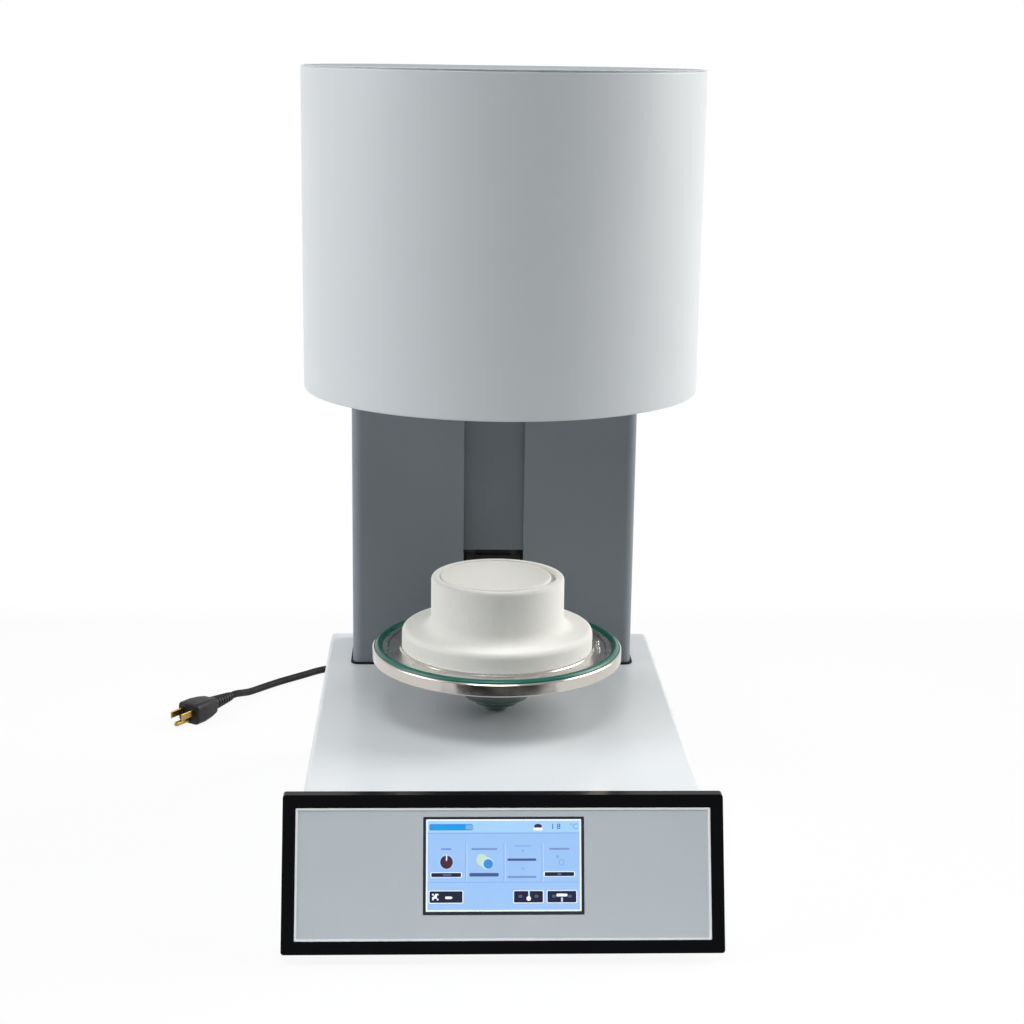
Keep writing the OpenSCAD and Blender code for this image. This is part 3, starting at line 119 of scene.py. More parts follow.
def finish(name, colour, tint=None, cloud=60, rough=(0.4, 0.5), smudge=25, metal=0.0, fixed=None,
           grain=(), turnedAt=None, speck=None, lit=None):
    # colour and tint drift over cloud mm, roughness over smudge mm; each grain is
    # (kind, size in mm, depth in mm[, stretch]), and speck is (colour, size, share)
    made = bpy.data.materials.new(name)
    tree = emptyTree(made)
    place = addNode(tree, "TexCoord").outputs["Object"]
    middle = addNode(tree, "Mapping", {"Location": turnedAt or (0, 0, 0)}, {"Vector": place})
    drift = addNode(tree, "TexNoise", {"Scale": 1 / (cloud * mm), "Detail": 4.0,
                                       "Roughness": 0.55}, {"Vector": place})
    paint = addNode(tree, "Mix", {"data_type": "RGBA", 6: fromHex(colour),
                                  7: fromHex(tint or colour)}, {0: drift}).outputs[2]
    if speck:
        spots = addNode(tree, "TexNoise", {"Scale": 1 / (speck[1] * mm), "Detail": 1.0},
                        {"Vector": place})
        edge = addNode(tree, "MapRange", {"From Min": 1 - speck[2]}, {"Value": spots})
        paint = addNode(tree, "Mix", {"data_type": "RGBA", 7: fromHex(speck[0])},
                        {0: edge, 6: paint}).outputs[2]
    wipe = addNode(tree, "TexNoise", {"Scale": 1 / (smudge * mm), "Detail": 5.0},
                   {"Vector": place})
    gloss = addNode(tree, "MapRange", {"From Min": 0.3, "From Max": 0.7, "To Min": rough[0],
                                       "To Max": rough[1]}, {"Value": wipe})
    relieved = {}
    for kind, size, depth, *stretch in grain:
        spread = addNode(tree, "Mapping", {"Scale": stretch[0] if stretch else (1, 1, 1)},
                         {"Vector": middle})
        texture, settings, pitch, result = reliefs[kind]
        relief = addNode(tree, texture, {**settings, "Scale": pitch / (size * mm)},
                         {"Vector": spread}).outputs[result]
        relieved = {"Normal": addNode(tree, "Bump", {"Distance": depth * mm},
                                      {"Height": relief, **relieved})}
    shader = addNode(tree, "BsdfPrincipled", {"Metallic": metal, **(fixed or {})},
                     {"Base Color": paint, "Roughness": gloss, **relieved})
    if lit:  # a lit picture: its colour glows by the share that lit gives
        tree.links.new(paint, shader.inputs["Emission Color"])
        shader.inputs["Emission Strength"].default_value = lit
    addNode(tree, "OutputMaterial", {}, {"Surface": shader})
    return made


def seenDirectly(tree):  # 1 for what the eye meets straight on, in metal or through glass
    path = addNode(tree, "LightPath").outputs
    either = addNode(tree, "Math", {"operation": "ADD"},
                     {0: path["Is Camera Ray"], 1: path["Is Glossy Ray"]})
    return addNode(tree, "Math", {"operation": "ADD", "use_clamp": True},
                   {0: either, 1: path["Is Transmission Ray"]})


axisPlace = (0, -axisY, 0)  # brings rings on Object coordinates to the muffle's axis

# Powder coat on steel sheet: soft gloss over a faint orange peel
whitePowderCoat = finish("WhitePowderCoat", "D9DEE1", "E0E3E5", 90, (0.3, 0.38), 30,
                         fixed={"Coat Weight": 0.12, "Coat Roughness": 0.25},
                         grain=[("noise", 2.6, 0.02), ("noise", 0.9, 0.004)])
# The lid's coat: the shell's white paint, painted grey here as painted shade so the lid's top does
# not burn out under the lamps; matt with a coarse texture, as on a sheet that gets hot
lidCoatPaintedShade = finish("LidCoatPaintedShade", "A2A9AC", "ACB2B5", 60, (0.7, 0.8), 30,
                     fixed={"Specular IOR Level": 0.0},
                     grain=[("noise", 1.6, 0.04), ("noise", 0.7, 0.01)])
# The same coat in slate grey, matter and a little coarser
slatePowderCoat = finish("SlatePowderCoat", "828A91", "8B9297", 70, (0.42, 0.52), 35,
                         grain=[("noise", 1.9, 0.022), ("noise", 0.8, 0.006)])
# Stove enamelled strip: darker and smoother, rubbed along its travel
stripEnamel = finish("StripEnamel", "757C84", "7D838A", 40, (0.34, 0.46), 20,
                     grain=[("noise", 1.2, 0.01, (1, 1, 0.08))])
# Silver paint with fine flake on the front panel
silverPanelPaint = finish("SilverPanelPaint", "D3DADF", "DAE0E4", 50, (0.36, 0.44), 22, 0.25,
                          speck=("DCE1E4", 1.1, 0.42), grain=[("noise", 1.0, 0.006)])
# Painted highlight: pale white for the bright line round the panel, on the panel's eased edges and
# on a thin bead; satin, the palest line on the front
paintedHighlightWhite = finish("PaintedHighlightWhite", "F9FAFB", "FDFDFE", 20, (0.3, 0.4), 12,
                       grain=[("noise", 3, 0.004)])
# Moulded ABS with a polished face, near black
glossBlackPlastic = finish("GlossBlackPlastic", "050507", "09090B", 40, (0.14, 0.22), 18,
                           fixed={"Specular IOR Level": 0.12}, grain=[("noise", 6, 0.012)])
# Front glass of the display, printed black behind
screenGlass = finish("ScreenGlass", "0C1222", "10182B", 30, (0.05, 0.09), 20,
                     fixed={"Coat Weight": 1.0, "Coat Roughness": 0.03, "IOR": 1.52},
                     grain=[("noise", 20, 0.004)])
# Turned stainless steel: fine feed rings round the axis, softly blurred
turnedStainless = finish("TurnedStainless", "DAD7D3", "E3E0DC", 35, (0.24, 0.34), 14, 1.0,
                         grain=[("rings", 1.1, 0.006), ("noise", 0.6, 0.002)], turnedAt=axisPlace)
# The plate's rim, polished after turning
polishedStainless = finish("PolishedStainless", "C6C1BC", "CFC9C2", 30, (0.12, 0.2), 12, 1.0,
                           grain=[("noise", 0.8, 0.003, (1, 1, 6))])
# Zinc plated steel: cool, with the cloudy spangle of a bath
zincPlate = finish("ZincPlate", "A3A9AD", "B9BEC0", 9, (0.28, 0.46), 7, 1.0,
                   grain=[("cells", 4, 0.004)])
# Milled aluminium: cutter marks that run one way
milledAluminium = finish("MilledAluminium", "C2C5C8", "CFD1D2", 25, (0.28, 0.4), 10, 1.0,
                         grain=[("noise", 0.8, 0.008, (0.12, 1, 1))])
# Black anodised aluminium: dull, faintly brown where it is handled
blackAnodised = finish("BlackAnodised", "1B1C1E", "26262A", 20, (0.36, 0.5), 12, 0.6,
                       grain=[("noise", 0.7, 0.006)])
# Grey green hard coat on the cone nut, turned before it was coated
greyHardCoat = finish("GreyHardCoat", "5A6664", "6A7673", 16, (0.3, 0.42), 10, 0.3,
                      grain=[("rings", 0.9, 0.01)], turnedAt=axisPlace)
# Glass fibre board under green lacquer
boardLaminate = finish("BoardLaminate", "1E5A35", "286A41", 12, (0.28, 0.4), 9,
                       grain=[("bands", 1.6, 0.01)])
# Moulded black plastic with a spark eroded texture
texturedBlackPlastic = finish("TexturedBlackPlastic", "0E0F10", "161718", 15, (0.42, 0.56), 10,
                              fixed={"Specular IOR Level": 0.35}, grain=[("cells", 0.9, 0.03)])
# Thermoset in ivory, as terminal blocks are
ivoryThermoset = finish("IvoryThermoset", "DDD6C0", "E5DFCB", 12, (0.4, 0.52), 8,
                        grain=[("noise", 1.1, 0.012)])
# Soft black rubber and PVC: matt, slightly dusty
blackRubber = finish("BlackRubber", "0A0A0A", "131313", 10, (0.5, 0.66), 9,
                     fixed={"Specular IOR Level": 0.25},
                     grain=[("noise", 0.8, 0.012), ("noise", 7, 0.03)])
# Fluoro rubber of the seal ring: deep green, smooth, with a moulding bloom
greenFluoroRubber = finish("GreenFluoroRubber", "07594A", "0B6755", 18, (0.26, 0.36), 12,
                           grain=[("noise", 1.3, 0.008)])
# Turned brass, a little tarnished
turnedBrass = finish("TurnedBrass", "B99B55", "A5853F", 8, (0.22, 0.38), 6, 1.0,
                     grain=[("rings", 0.8, 0.008)])
# Oil filled sintered bronze: porous
sinteredBronze = finish("SinteredBronze", "A07844", "8A6436", 6, (0.42, 0.6), 4, 0.9,
                        grain=[("cells", 0.7, 0.03)])
# Hard chromed rod: ground round, near mirror
hardChrome = finish("HardChrome", "C6C9CC", "D0D2D4", 30, (0.06, 0.12), 14, 1.0,
                    grain=[("noise", 0.7, 0.002, (1, 1, 6))])
# Pressed ceramic fibre: chalky, with short fibres lying every way
pressedFibre = finish("PressedFibre", "EDECE6", "F4F3EE", 14, (0.82, 0.95), 9,
                      fixed={"Specular IOR Level": 0.2, "Sheen Weight": 0.15},
                      speck=("DCD9CF", 1.6, 0.36),
                      grain=[("noise", 1.3, 0.11, (1, 1, 2.4)), ("cells", 2.6, 0.05),
                             ("noise", 0.6, 0.04, (2.2, 1, 1))])
# Dense cast fibre of the firing tray: smoother and whiter than the plinth
castFibre = finish("CastFibre", "F1EFE8", "F6F5F0", 10, (0.7, 0.85), 8,
                   fixed={"Specular IOR Level": 0.25}, speck=("DEDBD0", 1.2, 0.34),
                   grain=[("noise", 1.0, 0.05)])
# Milky quartz tube, drawn with fine streaks
milkyQuartz = finish("MilkyQuartz", "DCE2E6", "E8ECEE", 30, (0.1, 0.2), 10,
                     fixed={"Transmission Weight": 0.35, "IOR": 1.46},
                     grain=[("noise", 1.4, 0.012, (1, 1, 0.1))])
# Sintered alumina of the probe's sheath
probeAlumina = finish("ProbeAlumina", "E9E4D6", "F0ECE2", 8, (0.5, 0.66), 6,
                      grain=[("noise", 0.8, 0.012)])
# Iron chromium aluminium wire under its own grey oxide
oxidisedWire = finish("OxidisedWire", "5A4A40", "6E5E55", 5, (0.5, 0.7), 4, 0.5,
                      grain=[("noise", 0.6, 0.02)])
# Flocked card of the studio
cardFlock = finish("CardFlock", "08080A", "0C0C0E", 40, (0.9, 1.0), 20,
                   fixed={"Specular IOR Level": 0.0})
print("finishes mixed")


# Ways of working

def clearSelection():
    if bpy.context.object and bpy.context.object.mode != "OBJECT":
        bpy.ops.object.mode_set(mode="OBJECT")
    bpy.ops.object.select_all(action="DESELECT")


def pick(piece):
    clearSelection()
    piece.select_set(True)
    bpy.context.view_layer.objects.active = piece


def settle(piece, place=None):  # puts the piece's place into its mesh
    pick(piece)
    if place is not None:
        piece.matrix_world = place @ piece.matrix_world
    bpy.ops.object.transform_apply(location=True, rotation=True, scale=True)


def opened(piece):  # in edit mode, with everything selected
    pick(piece)
    bpy.ops.object.mode_set(mode="EDIT")
    bpy.ops.mesh.select_all(action="SELECT")


def closed():
    bpy.ops.object.mode_set(mode="OBJECT")


def applied(piece, name, kind, **values):  # a modifier with its settings, applied
    pick(piece)
    modifier = piece.modifiers.new(name, kind)
    for key, value in values.items():
        setattr(modifier, key, value)
    bpy.ops.object.modifier_apply(modifier=modifier.name)


def smoothed(angle=40):  # the picked piece, smooth over the edges below this angle
    bpy.ops.object.shade_smooth_by_angle(angle=math.radians(angle))


def shaded(piece):  # smooth over small angles, broad faces kept flat
    pick(piece)
    smoothed(34)
    applied(piece, "flatFaces", "WEIGHTED_NORMAL", keep_sharp=True)


def ease(piece, width, segments=2, limit=32):  # breaks the sharp edges
    applied(piece, "easedEdges", "BEVEL", width=width * mm, segments=segments,
            limit_method="ANGLE", angle_limit=math.radians(limit),
            miter_outer="MITER_ARC" if segments > 1 else "MITER_SHARP")
    shaded(piece)


def wear(piece, material, slotName, *nodes, body=None):  # material, body and CAD nodes; the slot name is not used
    if material:
        piece.data.materials.clear()
        piece.data.materials.append(material)
    if nodes:
        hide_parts(*nodes)
    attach(piece, body or nodeBody[nodes[0]])
    return piece


def dressed(piece, material, chosen):  # a second finish on the faces that chosen() picks
    piece.data.materials.append(material)
    for face in piece.data.polygons:
        if chosen(face):
            face.material_index = 1


def cleaned(piece):  # doubles merged, faces outwards
    opened(piece)
    bpy.ops.mesh.remove_doubles(threshold=0.004 * mm)
    bpy.ops.mesh.normals_make_consistent(inside=False)
    closed()


def joined(name, parts):
    clearSelection()
    for part in parts:
        part.select_set(True)
    bpy.context.view_layer.objects.active = parts[0]
    bpy.ops.object.join()
    piece = bpy.context.object
    piece.name = piece.data.name = name
    return piece


def planeOf(name, size):  # a flat square round the origin, to shape further
    clearSelection()
    bpy.ops.mesh.primitive_plane_add(size=size, location=(0, 0, 0))
    piece = bpy.context.object
    piece.name = piece.data.name = name
    return piece


def turned(name, profile, place=None, steps=96, sweep=360, start=0, ring=False):
    # a profile of (radius, height) points, extruded point by point and spun round local z
    piece = planeOf(name, 1 * mm)
    opened(piece)
    bpy.ops.mesh.select_mode(type="VERT")
    bpy.ops.mesh.merge(type="CENTER")
    spots = [Vector((r * math.cos(start), r * math.sin(start), z)) * mm for r, z in profile]
    bpy.ops.transform.translate(value=spots[0])
    for last, spot in zip(spots, spots[1:]):
        bpy.ops.mesh.extrude_vertices_move(TRANSFORM_OT_translate={"value": spot - last})
    if ring:  # a closed profile
        bpy.ops.mesh.select_all(action="DESELECT")
        closed()
        for i in (0, len(profile) - 1):
            piece.data.vertices[i].select = True
        bpy.ops.object.mode_set(mode="EDIT")
        bpy.ops.mesh.edge_face_add()
    bpy.ops.mesh.select_all(action="SELECT")
    bpy.ops.mesh.spin(steps=steps, angle=math.radians(sweep), center=(0, 0, 0), axis=(0, 0, 1))
    cleaned(piece)
    settle(piece, place)
    return piece


def slab(name, w, h, thick, corner, place=None, segments=5):
    # a plate from z 0 up, its corners rounded in plan
    piece = planeOf(name, 1)
    piece.scale = (w * mm, h * mm, 1)
    settle(piece)
    opened(piece)
    bpy.ops.mesh.bevel(offset=corner * mm, segments=segments, affect="VERTICES")
    bpy.ops.mesh.select_all(action="SELECT")
    bpy.ops.mesh.extrude_region_move(TRANSFORM_OT_translate={"value": (0, 0, thick * mm)})
    cleaned(piece)
    settle(piece, place)
    return piece


def sweptLine(name, spots, radius, rounds):  # a round tube along a line of points
    curve = bpy.data.curves.new(name, "CURVE")
    curve.dimensions = "3D"
    curve.bevel_depth = radius * mm
    curve.bevel_resolution = rounds
    run = curve.splines.new("POLY")
    run.points.add(len(spots) - 1)
    for dot, spot in zip(run.points, spots):
        dot.co = (*spot, 1)
    run.use_smooth = True
    piece = bpy.data.objects.new(name, curve)
    bpy.context.scene.collection.objects.link(piece)
    return piece


def bend(middle, radius, first, last, parts):  # points of an arc in a profile
    return [(middle[0] + radius * math.cos(math.radians(first + (last - first) * k / parts)),
             middle[1] + radius * math.sin(math.radians(first + (last - first) * k / parts)))
            for k in range(parts + 1)]


def border(name, w, d, wide, high, corner, place):  # a closed rim, w by d outside
    rim = slab(name, w, d, high, corner, place)
    inside = slab("rimCut", w - 2 * wide, d - 2 * wide, high + 8, max(corner - wide, 0.2),
                  place @ shift(0, 0, -4))
    applied(rim, "cut", "BOOLEAN", operation="DIFFERENCE", object=inside)
    bpy.data.objects.remove(inside)
    return rim


def easedCopy(node, name, width, flat=0):
    # the CAD node's own shape with its triangles merged and its sharp edges broken
    mesh = frame["nodes"][node].data.copy()
    piece = bpy.data.objects.new(name, mesh)
    bpy.context.scene.collection.objects.link(piece)
    mesh.name = name
    pick(piece)
    bpy.ops.mesh.customdata_custom_splitnormals_clear()
    opened(piece)
    bpy.ops.mesh.remove_doubles(threshold=0.01 * mm)
    if flat:
        bpy.ops.mesh.dissolve_limited(angle_limit=math.radians(flat))
    closed()
    if width:
        ease(piece, width)
    else:
        smoothed(34)
    return piece


# Mains lead: the points of its route, as the source has them, from the inlet to the plug

leadLook = {"thick": 6.8, "coilMiddle": (41, 372), "coilRadius": 49, "pitch": 7.4, "layer": 7.3,
            "turns": 5.25, "reverseAt": 2.75, "low": 4.6, "exit": (90, 246, 58)}


def coilPoint(t):  # in on the lower layer, out on the upper one
    past = t - leadLook["reverseAt"]
    c = min(1, max(0, 2 * past + 0.5))
    r = leadLook["coilRadius"] + leadLook["pitch"] * (abs(past) - leadLook["reverseAt"])
    turn = 2 * math.pi * t
    return (leadLook["coilMiddle"][0] + r * math.cos(turn),
            leadLook["coilMiddle"][1] + r * math.sin(turn),
            leadLook["low"] + leadLook["layer"] * c * c * (3 - 2 * c))


def rounded(points, parts=4):  # a smooth line through given points
    ends = [points[0], *points, points[-1]]
    line = []
    for a, b, c, d in zip(ends, ends[1:], ends[2:], ends[3:]):
        for k in range(parts):
            t = k / parts
            line.append([0.5 * (2 * q + (r - p) * t + (2 * p - 5 * q + 4 * r - s) * t * t
                                + (3 * q - p - 3 * r + s) * t ** 3)
                         for p, q, r, s in zip(a, b, c, d)])
    return line + [points[-1]]


firstTurn = coilPoint(0)
lastTurn = coilPoint(leadLook["turns"])
leadDown = [leadLook["exit"], (90, 254, 58), (90, 264, 56.5), (90, 276, 52), (90, 287, 45),
            (90, 297, 37), (90, 307, 28), (90, 318, 19), (90, 330, 11.5), (90, 343, 7),
            (90, 356, 5), (firstTurn[0], firstTurn[1] - 6.8, firstTurn[2])]
leadCoil = [coilPoint(k / 24) for k in range(int(24 * leadLook["turns"]) + 1)]
leadAway = [(lastTurn[0] - 6.8, lastTurn[1], lastTurn[2]), (22, 420, 10), (10, 422, 7.5),
            (-4, 425, 5), (-20, 428, 3.8), (-38, 431, 3.5), (-58, 434, 3.5), (-80, 436, 3.5),
            (-102, 436.5, 3.5), (-122, 435, 3.5), (-138, 431.5, 3.5), (-152, 425.5, 3.5),
            (-166.2, 416.2, 3.5), (-178, 404.8, 3.5), (-190, 393.5, 3.5), (-202, 382, 3.5),
            (-213, 369.2, 3.7), (-223.5, 354.7, 4.4), (-229.5, 344, 5.8), (-235, 334, 8.2),
            (-240, 325.5, 10.2), (-244.5, 319, 10.2)]
leadRoute = [onTable(*p) for p in rounded(leadDown) + leadCoil + rounded(leadAway)]
mainsLead = sweptLine("mainsLead", leadRoute, leadLook["thick"] / 2, 5)
mainsLead.data.use_fill_caps = True
wear(mainsLead, blackRubber, "black_rubber", "mains_lead", "lead_coil")


def ribbedRelief(name, wide, thin, long, ribs, place):  # a tapered sleeve with grooves round it
    profile = [(0, 0), (wide, 0)]
    for k in range(ribs):
        low = long * (0.08 + 0.84 * k / ribs)
        r = wide + (thin - wide) * low / long
        profile += [(r, low), (r - 0.1, low + long * 0.45 / ribs),
                    (r - 1.1, low + long * 0.5 / ribs), (r - 1.1, low + long * 0.8 / ribs)]
    profile += [(thin, long * 0.93), (thin, long - 0.6), (thin - 0.6, long), (0, long)]
    relief = turned(name, profile, place, 32)
    ease(relief, 0.18, 1)
    return relief


# Plug: oval body with finger grips, heading on where the lead ends
plugLook = {"relief": 28, "body": 32, "tall": 20, "wide": 25, "heading": (-4.5, -6.5),
            "waist": (9, 20), "neck": (0.72, 0.7), "shoulder": (0.9, 0.86),
            "blade": (6.3, 1.5, 16.8), "bladeAt": (-2, 6.35), "earthAt": 5.5, "sunk": 0.4}
headingX, headingY = plugLook["heading"]
plugTurn = Matrix.Translation(onTable(*leadAway[-1])) \
    @ roll(math.degrees(math.atan2(headingY, headingX)), "Z") @ roll(90, "Y")
plugBody = slab("plugBody", plugLook["tall"], plugLook["wide"], plugLook["body"], 5)
for height in plugLook["waist"]:
    opened(plugBody)
    bpy.ops.mesh.bisect(plane_co=(0, 0, height * mm), plane_no=(0, 0, 1))
closed()
for v in plugBody.data.vertices:  # narrow neck, full shoulders
    above = v.co.z / mm
    draw = plugLook["neck"] if above < 1 else plugLook["shoulder"] if above < 10 else (1, 1)
    v.co.x *= draw[0]
    v.co.y *= draw[1]
ease(plugBody, 1.6, 3, 28)
plugFoot = plugTurn @ shift(0, 0, plugLook["relief"])
settle(plugBody, plugFoot)
plugRelief = ribbedRelief("plugRelief", 7, 4.2, plugLook["relief"], 6, plugFoot @ roll(180, "X"))
mainsPlug = joined("mainsPlug", [plugBody, plugRelief])
wear(mainsPlug, texturedBlackPlastic, "black_plastic", "mains_plug")
plugFace = plugFoot @ shift(0, 0, plugLook["body"] - plugLook["sunk"])
bladeX, bladeY = plugLook["bladeAt"]
blades = [slab("plugBlade", *plugLook["blade"], 0.5, plugFace @ shift(bladeX, y, 0), 2)
          for y in (-bladeY, bladeY)]
for blade in blades:
    ease(blade, 0.3, 1)
earthPin = turned("earthPin", [(0, 0), (2.4, 0), (2.4, 16.6), (1.6, 18.4), (0, 18.8)],
                  plugFace @ shift(plugLook["earthAt"], 0, 0), 24)
ease(earthPin, 0.2, 1)
plugContacts = joined("plugContacts", blades + [earthPin])
wear(plugContacts, turnedBrass, "brass", body="housing")

# Connector in the mains inlet: gripped body and ribbed sleeve
connectorLook = {"inlet": (90, 200.5, -52), "body": (27, 20, 15), "bodyAt": 2.5,
                 "nose": (24, 16, 20), "noseAt": -11.5, "grips": 4, "gripAt": (13.3, 6),
                 "gripStep": 2.6}
connectorTurn = onAxis @ shift(*connectorLook["inlet"]) @ roll(-90, "X")
connectorBody = slab("connectorBody", *connectorLook["body"], 3,
                     connectorTurn @ shift(0, 0, connectorLook["bodyAt"]))
ease(connectorBody, 1.2, 3)
connectorNose = slab("connectorNose", *connectorLook["nose"], 1.5,
                     connectorTurn @ shift(0, 0, connectorLook["noseAt"]))
connectorEnd = connectorLook["bodyAt"] + connectorLook["body"][2]
connectorRelief = ribbedRelief("connectorRelief", 7, 4.2, 28, 6,
                               connectorTurn @ shift(0, 0, connectorEnd))
grips = []
gripX, gripZ = connectorLook["gripAt"]
for side in (-1, 1):
    for k in range(connectorLook["grips"]):
        gripPlace = shift(side * gripX, 0, gripZ + connectorLook["gripStep"] * k)
        grips.append(slab("grip", 1.1, 12, 0.5, 0.3, connectorTurn @ gripPlace @ roll(90, "Y"), 2))
mainsConnector = joined("mainsConnector", [connectorBody, connectorNose, connectorRelief] + grips)
wear(mainsConnector, texturedBlackPlastic, "black_plastic", "mains_connector")

# Hook and loop tie round the stored coil
leadTie = easedCopy("lead_tie", "leadTie", 0.3, flat=0.4)
wear(leadTie, blackRubber, "black_rubber", "lead_tie")


# Muffle: rolled shell and its lid, both stopped at the column's face

muffleLook = {"radius": 148, "sheet": 1.5, "bottom": 260.5, "top": 495.5, "columnFace": 116,
              "lid": 146.3, "skirt": 13.5}
rimR, rimZ, rimLow = muffleLook["radius"], muffleLook["top"], muffleLook["bottom"]
muffleHalf = math.asin(muffleLook["columnFace"] / rimR)
wall = rimR - muffleLook["sheet"]
muffleShell = turned("muffleShell", [
    (rimR - 1.3, rimLow), (rimR - 0.4, rimLow + 0.3), (rimR, rimLow + 1.2),
    (rimR, rimZ - 1.9), (rimR - 0.8, rimZ - 1.7), (rimR - 0.8, rimZ - 0.6),  # a rolled seam
    (rimR - 0.1, rimZ - 0.45), (rimR - 0.1, rimZ), (wall, rimZ), (wall, rimLow)],
    onAxis, 150, 180 + 2 * math.degrees(muffleHalf), muffleHalf, ring=True)
opened(muffleShell)
bpy.ops.mesh.select_all(action="DESELECT")
bpy.ops.mesh.select_mode(type="EDGE")
bpy.ops.mesh.select_non_manifold()
bpy.ops.mesh.edge_face_add()
closed()
ease(muffleShell, 0.2, 2, 40)
wear(muffleShell, whitePowderCoat, "white_paint", "muffle_shell")

lidR, lidLow = muffleLook["lid"], rimZ - muffleLook["skirt"]
lidWall, lidUnder = lidR - muffleLook["sheet"], rimZ - muffleLook["sheet"]
muffleLid = turned("muffleLid", [
    (0, lidUnder), (lidWall, lidUnder), (lidWall, lidLow), (lidR, lidLow), (lidR, rimZ - 0.9),
    (lidR - 0.9, rimZ), (0, rimZ)], onAxis, 160)
opened(muffleLid)
bpy.ops.mesh.bisect(plane_co=at(0, muffleLook["columnFace"], 0), plane_no=(0, 1, 0),
                    use_fill=True, clear_outer=True)
closed()
ease(muffleLid, 0.25, 2, 40)
# the lid wears the white coat painted darker: painted shade on its top
wear(muffleLid, lidCoatPaintedShade, "white_paint", "muffle_lid")
print("muffle shaped")


# Platform: turned plate with its pocket, the seal ring in its groove, and two pins

plateLook = {"radius": 97.5, "top": 54.2, "thick": 10, "sealMiddle": 92.7, "sealRadius": 3,
             "proud": 2.2, "groove": (89.6, 95.9), "grooveDeep": 3.4, "pocket": (75, 85),
             "pocketDeep": 1, "pins": (-8, 4), "pinsAt": 79.5}
top = plateLook["top"]
low = top - plateLook["thick"]
edgeR = plateLook["radius"]
grooveIn, grooveOut = plateLook["groove"]
grooveLow = top - plateLook["grooveDeep"]
pocketIn, pocketOut = plateLook["pocket"]
pocketLow = top - plateLook["pocketDeep"]
platformPlate = turned("platformPlate", [
    (0, low), (edgeR - 0.8, low), (edgeR, low + 0.8), (edgeR, top - 1.0), (edgeR - 0.9, top - 0.1),
    (edgeR - 1.6, top), (grooveOut, top), (grooveOut, grooveLow), (grooveIn, grooveLow),
    (grooveIn, top), (pocketOut + 0.5, top), (pocketOut - 0.5, pocketLow),
    (pocketIn + 1.5, pocketLow), (pocketIn + 0.5, top), (0, top)],
    onAxis, 160)
ease(platformPlate, 0.25, 2, 25)
platePins = []
for angle in plateLook["pins"]:
    pinPlace = onAxis @ roll(angle, "Z") @ shift(plateLook["pinsAt"], 0, 0) @ roll(-angle, "Z")
    pin = turned("platePin", [(0, pocketLow), (1.5, pocketLow), (1.5, top + 0.9),
                              (1.0, top + 1.5), (0, top + 1.5)], pinPlace, 20)
    ease(pin, 0.2)
    platePins.append(pin)
platformPlate = joined("platformPlate", [platformPlate] + platePins)
wear(platformPlate, turnedStainless, "steel", "platform_plate")
# the rim, the pocket's walls and the pins are polished
dressed(platformPlate, polishedStainless, lambda face: abs(face.normal.z) < 0.9
        or math.hypot(face.center.x, face.center.y - axisY) > (edgeR - 1.7) * mm
        or face.center.z > baseTop + (top + 0.02) * mm)

sealR, sealMiddle = plateLook["sealRadius"], plateLook["sealMiddle"]
sealMid = top + plateLook["proud"] - sealR
sealRound = []
for k in range(24):  # round section with the faint flash of its mould at half height
    turn = 2 * math.pi * (k + 0.5) / 24
    flash = 0.12 if abs(math.sin(turn)) < 0.15 else 0
    sealRound.append((sealMiddle + (sealR + flash) * math.cos(turn),
                      sealMid + sealR * math.sin(turn)))
sealRing = turned("sealRing", sealRound, onAxis, 160, ring=True)
smoothed()
wear(sealRing, greenFluoroRubber, "green_rubber", "seal_ring")
print("platform turned")


# Firing plinth of pressed fibre, and the thin tray in its recess

plinthLook = {"lowRadius": 74.5, "lowHigh": 15.7, "upRadius": 51.8, "high": 56.5, "fillet": 9,
              "edge": 3, "lowEdge": 4.5, "recess": 45.5, "deep": 3, "trayRadius": 43,
              "trayThick": 2.8, "trayShift": -1.5}
p = plinthLook
foot = plateLook["top"]
step, crown = foot + p["lowHigh"], foot + p["high"]
trayFoot, recess, trayR = crown - p["deep"], p["recess"], p["trayRadius"]
plinthProfile = [(0, foot), (p["lowRadius"] - 0.5, foot), (p["lowRadius"], foot + 0.5)]
plinthProfile += bend((p["lowRadius"] - p["lowEdge"], step - p["lowEdge"]), p["lowEdge"], 0, 90, 6)
plinthProfile += bend((p["upRadius"] + p["fillet"], step + p["fillet"]), p["fillet"], 270, 180, 8)
plinthProfile += bend((p["upRadius"] - p["edge"], crown - p["edge"]), p["edge"], 0, 90, 5)
plinthProfile += [(recess + 0.6, crown), (recess, crown - 0.6), (recess - 0.2, trayFoot + 0.5),
                  (recess - 0.8, trayFoot), (0, trayFoot)]
firingPlinth = turned("firingPlinth", plinthProfile, onAxis, 160)
smoothed()
wear(firingPlinth, pressedFibre, "fibre", "firing_plinth")

trayTop = trayFoot + p["trayThick"]
firingTray = turned("firingTray", [
    (0, trayFoot), (trayR - 0.5, trayFoot), (trayR, trayFoot + 0.5), (trayR, trayTop - 0.6),
    (trayR - 0.6, trayTop), (trayR - 3.2, trayTop), (trayR - 3.6, trayTop - 0.25),
    (0, trayTop - 0.3)], onAxis @ shift(p["trayShift"], 0, 0), 128)
smoothed()
wear(firingTray, castFibre, "fibre", "firing_tray")

